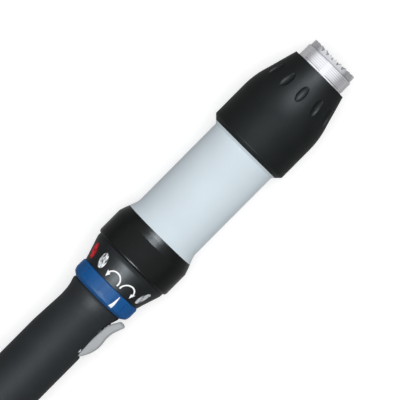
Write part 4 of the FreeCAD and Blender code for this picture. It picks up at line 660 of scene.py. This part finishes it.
def between(rows: Outline, station: float) -> float:
    """Read the radius of a turned surface at a station.

    Args:
        rows: Stations and radii of the surface, from its front to its rear.
        station: The station.

    Returns:
        The radius, which past either end is that of the end.
    """
    for (x0, r0), (x1, r1) in zip(rows, rows[1:]):
        if x1 <= station <= x0:
            return r0 + (r1 - r0) * (x0 - station) / (x0 - x1)
    return rows[0][1] if station > rows[0][0] else rows[-1][1]


def wrap(bm: Mesh, rows: Outline, angle: float, lift: float) -> None:
    """Bend a flat print onto a turned surface.

    A vertex's x is its station, its y the arc away from the lever and its z the height over the surface.

    Args:
        bm: The flat mesh in millimetres.
        rows: Stations and radii of the surface.
        angle: Degrees from the lever round the tool.
        lift: Gap under the print.
    """
    middle = math.radians(angle)
    for vert in bm.verts:
        radius = between(rows, vert.co.x)
        turn = middle + vert.co.y / radius
        reach = radius + lift + vert.co.z
        vert.co = Vector((vert.co.x, -math.cos(turn) * reach, math.sin(turn) * reach))


def thicken(bm: Mesh, height: float) -> None:
    """Give a flat shape its thickness upwards.

    Args:
        bm: The flat mesh.
        height: The thickness in millimetres.
    """
    made = bmesh.ops.extrude_face_region(bm, geom=bm.faces[:])
    top = [item for item in made["geom"] if isinstance(item, Vertex)]
    bmesh.ops.translate(bm, vec=(0, 0, height), verts=top)


# Sub-assemblies, in millimetres and degrees, with stations that run to the rear from the rim of the nose


@dataclass
class Thread:
    """Outside screw thread with V-shaped grooves, cut into a spun outline."""

    start: float
    end: float
    radius: float
    pitch: float
    depth: float
    rows_per_turn: int

    def rows(self) -> list[tuple[float, float]]:
        """Give the outline's points along the thread.

        Returns:
            Stations and radii, with several rows for each turn.
        """
        count = int((self.start - self.end) / self.pitch * self.rows_per_turn)
        step = self.end - self.start
        return [(self.start + step * i / count, self.radius) for i in range(count + 1)]

    def radius_at(self, station: float, turn: float) -> float:
        """Give the radius at a place of the screw line.

        Args:
            station: Place along the tool.
            turn: Angle round the tool in radians.

        Returns:
            The radius between crest and root.
        """
        phase = (station / self.pitch + turn / FULL_TURN) % 1.0
        return self.radius - self.depth * (1 - abs(2 * phase - 1))


@dataclass
class ThreadedNose:
    """Steel nose with its fine thread and the flats across it.

    The real thread has a finer pitch than 1.5 mm. It is drawn coarser so that it shows.
    """

    shop: Paintshop
    thread_radius: float = 19.2
    thread_length: float = 9.8
    pitch: float = 1.5
    depth: float = 0.24
    run_out: float = 0.3
    rows_per_turn: int = 10
    barrel_radius: float = 18.8
    nose_length: float = 30.0
    flange_radius: float = 24.0
    flange_rear: float = -34.0
    crown_seat: float = 16.85
    seat_depth: float = 9.0
    bearing_seat: float = 13.05
    shoulder_bore: float = 11.5
    shoulder_rear: float = -13.0
    flats: int = 6
    flat_height: float = 18.93
    flat_turn: float = 94.5
    edge: float = 0.35
    steps: int = 240

    def thread(self) -> Thread:
        """Give the thread that the outline and the cut share."""
        return Thread(-self.edge, -self.thread_length, self.thread_radius, self.pitch, self.depth,
                      self.rows_per_turn)

    def outline(self) -> list[tuple[float, float]]:
        """Draw the nose's section.

        Returns:
            Stations and radii, in order round the section.
        """
        return [
            (0.0, self.crown_seat), (0.0, self.thread_radius - self.edge), *self.thread().rows(),
            (-self.thread_length, self.barrel_radius), (-self.nose_length, self.barrel_radius),
            (-self.nose_length, self.flange_radius), (self.flange_rear, self.flange_radius),
            (self.flange_rear, self.bearing_seat), (self.shoulder_rear, self.bearing_seat),
            (self.shoulder_rear, self.shoulder_bore), (-self.seat_depth, self.shoulder_bore),
            (-self.seat_depth, self.crown_seat),
        ]

    def cut_thread(self, verts: list[Vertex]) -> None:
        """Press the screw line and the flats into the outside.

        Args:
            verts: The vertices of the spun nose.
        """
        thread = self.thread()
        for vert in verts:
            radius, turn = polar_of(vert.co)
            inside = radius < self.thread_radius - self.edge - NEAR_MM
            if inside or vert.co.x < -self.thread_length - NEAR_MM:
                continue
            if -self.thread_length + self.run_out < vert.co.x < -self.edge - NEAR_MM:
                radius = thread.radius_at(vert.co.x, turn)
            set_radius(vert, turn, min(radius, self.flat_height / math.cos(self.lean(turn))))

    def lean(self, turn: float) -> float:
        """Give the angle from the middle of the nearest flat."""
        step, first = FULL_TURN / self.flats, math.radians(self.flat_turn)
        return turn - first - round((turn - first) / step) * step

    def build(self) -> None:
        """Make the nose in place of its plain solid, with its flats in their own finish."""
        bm = bmesh.new()
        self.cut_thread(lathe(bm, self.outline(), self.steps))
        for face in bm.faces:
            middle = face.calc_center_median()
            radius, turn = polar_of(middle)
            height = radius * math.cos(self.lean(turn))
            on_flat = abs(height - self.flat_height) < 2 * NEAR_MM
            face.material_index = int(on_flat and middle.x > -self.thread_length)
        piece = place_piece(bm, "threaded_nose", self.shop.get("nose_steel"), "root",
                            SMOOTH_THREADED)
        piece.data.materials.append(self.shop.get("nose_flat"))
        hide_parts("nose_collar")


@dataclass
class CableInlet:
    """Nickel-plated inlet shell with its coupling thread."""

    shop: Paintshop
    front: float = -338.1
    seat: float = -355.1
    flange_rear: float = -357.1
    rear: float = -370.09
    radius: float = 11.0
    bore: float = 9.5
    flange: float = 13.0
    tail_radius: float = 9.0
    tail_bore: float = 7.6
    pitch: float = 1.0
    depth: float = 0.45
    rows_per_turn: int = 6
    relief: float = 1.2
    edge: float = 0.4
    bore_edge: float = 0.2
    steps: int = 144

    def build(self) -> None:
        """Make the shell in place of its plain solid."""
        thread = Thread(self.flange_rear - self.relief, self.rear + self.edge, self.radius, self.pitch,
                        self.depth, self.rows_per_turn)
        root = self.radius - self.depth
        bm = bmesh.new()
        verts = lathe(bm, [
            (self.front, self.tail_bore), (self.front, self.tail_radius), (self.seat, self.tail_radius),
            (self.seat, self.flange - self.edge), (self.seat - self.edge, self.flange),
            (self.flange_rear + self.edge, self.flange), (self.flange_rear, self.flange - self.edge),
            (self.flange_rear, root), (thread.start + NEAR_MM, root), *thread.rows(),
            (self.rear, self.radius - self.edge), (self.rear, self.bore + self.bore_edge),
            (self.rear + self.bore_edge, self.bore), (self.flange_rear, self.bore),
            (self.flange_rear, self.tail_bore)], self.steps)
        for vert in verts:
            radius, turn = polar_of(vert.co)
            along = thread.end + NEAR_MM < vert.co.x < thread.start - NEAR_MM
            if along and radius > self.radius - NEAR_MM:
                set_radius(vert, turn, thread.radius_at(vert.co.x, turn))
        piece = place_piece(bm, "threaded_inlet", self.shop.get("inlet_nickel"), "root",
                            SMOOTH_THREADED)
        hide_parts("inlet_shell")


@dataclass
class CapScrews:
    """Four socket-head screws of the rear cap.

    The axis gap keeps the spun outline off its axis, where its faces would have no width.
    """

    shop: Paintshop
    circle: float = 17.8
    count: int = 4
    first_angle: float = 45.0
    head_rear: float = -355.05
    head_front: float = -352.9
    head_radius: float = 2.2
    shank_radius: float = 1.25
    shank_front: float = -341.15
    socket_radius: float = 1.25
    socket_depth: float = 1.2
    socket_sides: int = 6
    axis_gap: float = 0.01
    edge: float = 0.3
    steps: int = 36

    def build(self) -> None:
        """Make the screws in place of their plain solids."""
        bm = bmesh.new()
        for index in range(self.count):
            turn = math.radians(self.first_angle) + FULL_TURN * index / self.count
            self.screw(bm, Vector((0.0, self.circle * math.cos(turn), self.circle * math.sin(turn))))
        piece = place_piece(bm, "cap_socket_screws", self.shop.get("black_screw_steel"), "root")
        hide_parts("cap_screws")

    def screw(self, bm: Mesh, place: Vector) -> None:
        """Make one screw with its head, its hexagon socket and its shank.

        Args:
            bm: The mesh to add to.
            place: Where the screw's axis lies.
        """
        floor = self.head_rear + self.socket_depth
        made = lathe(bm, [
            (self.head_rear, self.socket_radius), (self.head_rear, self.head_radius - self.edge),
            (self.head_rear + self.edge, self.head_radius), (self.head_front, self.head_radius),
            (self.head_front, self.shank_radius), (self.shank_front - self.edge, self.shank_radius),
            (self.shank_front, self.shank_radius - self.edge), (self.shank_front, self.axis_gap),
            (floor, self.axis_gap), (floor, self.socket_radius)], self.steps)
        side = FULL_TURN / self.socket_sides
        for vert in made:
            radius, turn = polar_of(vert.co)
            if vert.co.x < floor + NEAR_MM and abs(radius - self.socket_radius) < NEAR_MM:
                lean = (turn + side / 2) % side - side / 2
                set_radius(vert, turn, self.socket_radius * math.cos(side / 2) / math.cos(lean))
        bmesh.ops.translate(bm, vec=place, verts=made)


@dataclass
class LeafSpring:
    """Bent leaf spring under the start lever. It is built in one shape; the real one flattens as the lever is
    pressed.
    """

    shop: Paintshop
    bend: float = -223.9
    length: float = 6.6
    foot: float = 16.05
    top: float = 20.3
    strip: float = 0.5
    width: float = 6.0
    pressed: float = 0.56

    def build(self) -> None:
        """Make the spring in place of its plain solid, with the strip double at the bend."""
        tail, double = self.bend - self.length, self.strip * 2
        outline = [
            (tail, self.foot), (self.bend, self.foot), (self.bend, self.foot + double),
            (tail, self.top), (tail, self.top - self.strip),
            (self.bend - double, self.foot + self.strip), (tail, self.foot + self.strip),
        ]
        bm = bmesh.new()
        bm.faces.new([bm.verts.new((station, -height, -self.width / 2)) for station, height in outline])
        thicken(bm, self.width)
        piece = place_piece(bm, "leaf_spring", self.shop.get("spring_steel"), "root")
        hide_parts("lever_spring")
        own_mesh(piece)


class ArrowHead(Enum):
    """Which end of a turning arrow carries its head."""

    FAR = "end away from the lever"
    NEAR = "end next to the lever"


@dataclass
class TurnArrow:
    """Printed arc with an arrow head, on the indicator cone."""

    shop: Paintshop
    name: str
    angle: float
    head: ArrowHead
    centre: float = -203.8
    radius: float = 5.3
    stroke: float = 1.05
    reach: float = 104.0
    head_angle: float = 70.0
    head_half: float = 1.75
    head_length: float = 3.8
    head_lean: float = 0.32
    height: float = 0.06
    lift: float = 0.02
    steps: int = 40
    surface: Outline = ((-191.0, 29.3), (-204.3, 24.9), (-207.5, 24.0))

    def build(self) -> None:
        """Make the arrow as a thin printed layer."""
        bm = bmesh.new()
        blunt, sharp = math.radians(-self.reach), math.radians(self.head_angle)
        inner, outer = self.radius - self.stroke / 2, self.radius + self.stroke / 2
        ends = [bm.verts.new((r * math.cos(blunt), r * math.sin(blunt), 0.0)) for r in (inner, outer)]
        bmesh.ops.spin(bm, geom=[*ends, bm.edges.new(ends)], cent=(0, 0, 0), axis=(0, 0, 1),
                       angle=sharp - blunt, steps=self.steps)
        self.add_head(bm, sharp)
        if self.head is ArrowHead.NEAR:
            bmesh.ops.scale(bm, vec=(1, -1, 1), verts=bm.verts)
        bmesh.ops.translate(bm, vec=(self.centre, 0, 0), verts=bm.verts)
        bmesh.ops.remove_doubles(bm, verts=bm.verts, dist=MERGE_MM)
        bmesh.ops.subdivide_edges(bm, edges=bm.edges[:], cuts=1)
        thicken(bm, self.height)
        wrap(bm, self.surface, self.angle, self.lift)
        place_piece(bm, self.name, self.shop.get("print_white"), "root")

    def add_head(self, bm: Mesh, start: float) -> None:
        """Add the head, a triangle that leans in to follow the arc.

        Args:
            bm: The mesh to add to.
            start: Angle at which the arc ends, in radians.
        """
        base = Vector((self.radius * math.cos(start), self.radius * math.sin(start), 0.0))
        outwards = base.normalized()
        tangent = Vector((-outwards.y, outwards.x, 0.0))
        onwards = (tangent - outwards * self.head_lean).normalized()
        corners = [base - outwards * self.head_half, base + outwards * self.head_half,
                   base + onwards * self.head_length]
        bm.faces.new([bm.verts.new(corner) for corner in corners])


@dataclass
class RingPointer:
    """Printed white pointer on the direction ring."""

    shop: Paintshop
    angle: float = 61.5
    rear: float = -218.7
    tip: float = -209.0
    rear_half: float = 1.55
    tip_half: float = 0.12
    height: float = 0.06
    lift: float = 0.03
    cuts: int = 15
    surface: Outline = ((-207.8, 23.7), (-208.65, 24.6), (-209.5, 24.9), (-215.4, 24.9), (-218.3, 23.8),
                        (-220.4, 21.0))

    def build(self) -> None:
        """Make the pointer as a thin printed layer."""
        bm = bmesh.new()
        corners = [(self.rear, -self.rear_half, 0.0), (self.tip, -self.tip_half, 0.0),
                   (self.tip, self.tip_half, 0.0), (self.rear, self.rear_half, 0.0)]
        bm.faces.new([bm.verts.new(corner) for corner in corners])
        bmesh.ops.subdivide_edges(bm, edges=bm.edges[:], cuts=self.cuts, use_grid_fill=True)
        thicken(bm, self.height)
        wrap(bm, self.surface, self.angle, self.lift)
        place_piece(bm, "ring_pointer", self.shop.get("print_white"), "ring")


# Studio


@dataclass(frozen=True)
class Lamp:
    """Square lamp that faces the tool. A panel shows only as a reflection, and only in the dark pieces."""

    name: str
    place: Point
    side: float
    watts: float
    panel: bool = False


@dataclass
class Studio:
    """Pale floor, soft lamps and the camera of the photograph's view, in millimetres and degrees."""

    floor: float = -31.05
    floor_half: float = 4000.0
    floor_colour: str = "#c4c4c4"
    floor_glow: float = 0.56
    look_at: Point = (-126.1, -2.6, 0.0)
    tilt_side: float = 3.5
    tilt_front: float = 1.25
    roll: float = 45.16
    distance: float = 3000.0
    nearest: float = 100.0
    farthest: float = 50000.0
    frame_width: float = 268.0
    sensor: float = 36.0
    sky_colour: str = "#f4f6f8"
    horizon_level: float = 0.16
    zenith_height: float = 0.9
    zenith_level: float = 0.5
    ceiling_height: float = 0.45
    ceiling_level: float = 1.6
    panel_colour: str = "#e6eff6"
    lamps: tuple[Lamp, ...] = (
        Lamp("key", (-60.0, -120.0, 1300.0), 900.0, 13.5),
        Lamp("side_front", (900.0, -900.0, 500.0), 700.0, 1.6),
        Lamp("panel_top", (-60.0, -120.0, 1300.0), 900.0, 17.0, panel=True),
        Lamp("panel_front", (850.0, -60.0, 1050.0), 620.0, 115.0, panel=True),
        Lamp("panel_rear", (-1150.0, -60.0, 1050.0), 620.0, 115.0, panel=True),
    )
    panel_lit: tuple[str, ...] = ("nose_sleeve", "rear_collar", "indicator_cone", "grip", "grip_cap",
                                  "direction_ring")

    def build(self) -> None:
        """Set up the background, the floor, the lamps and the camera."""
        bpy.context.scene.view_settings.view_transform = "Standard"
        self.make_world()
        self.make_floor()
        for lamp in self.lamps:
            self.make_lamp(lamp)
        self.make_camera()

    def make_world(self) -> None:
        """Light the tool softly from above, with a white studio that metal mirrors and the camera sees."""
        world = bpy.data.worlds.new("studio")
        bpy.context.scene.world = world
        world.use_nodes = True
        tree = world.node_tree
        tree.nodes.clear()
        coords = add_node(tree, "TexCoord").outputs["Generated"]
        height = add_node(tree, "SeparateXYZ", {0: coords}).outputs[2]
        light = add_node(tree, "MapRange", {
            "Value": height, "From Min": 0.0, "From Max": self.zenith_height,
            "To Min": self.horizon_level, "To Max": self.zenith_level}).outputs[0]
        mirrored = add_node(tree, "MapRange", {
            "Value": height, "From Min": 0.0, "From Max": self.ceiling_height,
            "To Min": self.horizon_level, "To Max": self.ceiling_level}).outputs[0]
        path = add_node(tree, "LightPath").outputs
        level = add_node(tree, "Mix", {0: path["Is Glossy Ray"], 2: light, 3: mirrored}).outputs[0]
        shown = add_node(tree, "Mix", {0: path["Is Camera Ray"], 2: level, 3: 1.0}).outputs[0]
        sky = add_node(tree, "Background", {"Color": linear(self.sky_colour), "Strength": shown}).outputs[0]
        add_node(tree, "OutputWorld", {"Surface": sky})

    def make_floor(self) -> None:
        """Lay the floor, which looks white to the camera and keeps the tool's shadow."""
        bm = bmesh.new()
        bmesh.ops.create_grid(bm, x_segments=1, y_segments=1, size=self.floor_half * MM)
        bmesh.ops.translate(bm, vec=(0, 0, self.floor * MM), verts=bm.verts)
        mesh = bpy.data.meshes.new("studio_floor")
        bm.to_mesh(mesh)
        bm.free()
        material = bpy.data.materials.new("pale_floor")
        material.use_nodes = True
        tree = material.node_tree
        tree.nodes.clear()
        lit = add_node(tree, "BsdfDiffuse", {"Color": linear(self.floor_colour)}).outputs[0]
        glow = add_node(tree, "Emission", {"Strength": self.floor_glow}).outputs[0]
        both = add_node(tree, "AddShader", {0: lit, 1: glow}).outputs[0]
        camera = add_node(tree, "LightPath").outputs["Is Camera Ray"]
        mixed = add_node(tree, "MixShader", {0: camera, 1: lit, 2: both}).outputs[0]
        add_node(tree, "OutputMaterial", {"Surface": mixed})
        mesh.materials.append(material)
        floor = bpy.data.objects.new("studio_floor", mesh)
        bpy.context.scene.collection.objects.link(floor)

    def make_lamp(self, lamp: Lamp) -> None:
        """Hang one lamp. A plain lamp makes no reflection, so that steel isn't blown out.

        Args:
            lamp: The lamp.
        """
        data = bpy.data.lights.new(lamp.name, "AREA")
        data.size = lamp.side * MM
        data.energy = lamp.watts
        place = Vector(lamp.place) * MM
        turned = (Vector(self.look_at) * MM - place).to_track_quat("-Z", "Y").to_matrix().to_4x4()
        hung = bpy.data.objects.new(lamp.name, data)
        hung.matrix_world = Matrix.Translation(place) @ turned
        bpy.context.scene.collection.objects.link(hung)
        hung.visible_glossy = lamp.panel
        hung.visible_diffuse = not lamp.panel
        if lamp.panel:
            data.color = linear(self.panel_colour)[:3]
            group = bpy.data.collections.new(lamp.name + "_pieces")
            for name in self.panel_lit:
                group.objects.link(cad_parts[name])
            hung.light_linking.receiver_collection = group

    def make_camera(self) -> None:
        """Place a long lens above the tool, rolled so that the nose points up and to the right."""
        side, front = math.radians(self.tilt_side), math.radians(self.tilt_front)
        back = Vector((math.sin(front), -math.sin(side), math.cos(side))).normalized()
        along = (Vector((1, 0, 0)) - back * back.x).normalized()
        across = back.cross(along)
        roll = math.radians(self.roll)
        right = along * math.cos(roll) - across * math.sin(roll)
        up = along * math.sin(roll) + across * math.cos(roll)
        data = bpy.data.cameras.new("photo_view")
        data.sensor_width = self.sensor
        data.lens = self.sensor * self.distance / self.frame_width
        data.clip_start, data.clip_end = self.nearest * MM, self.farthest * MM
        camera = bpy.data.objects.new("photo_view", data)
        place = Vector(self.look_at) * MM + back * self.distance * MM
        turned = Matrix((right, up, back)).transposed().to_4x4()
        camera.matrix_world = Matrix.Translation(place) @ turned
        bpy.context.scene.collection.objects.link(camera)
        bpy.context.scene.camera = camera


def main() -> None:
    """Build the studio, dress the solids and add the pieces that only show."""
    Studio().build()
    shop = Paintshop()
    shop.dress_frame()
    ThreadedNose(shop).build()
    CableInlet(shop).build()
    CapScrews(shop).build()
    LeafSpring(shop).build()
    TurnArrow(shop, "arrow_far", angle=90.0, head=ArrowHead.FAR).build()
    TurnArrow(shop, "arrow_near", angle=60.0, head=ArrowHead.NEAR).build()
    RingPointer(shop).build()


if __name__ == "__main__":
    main()
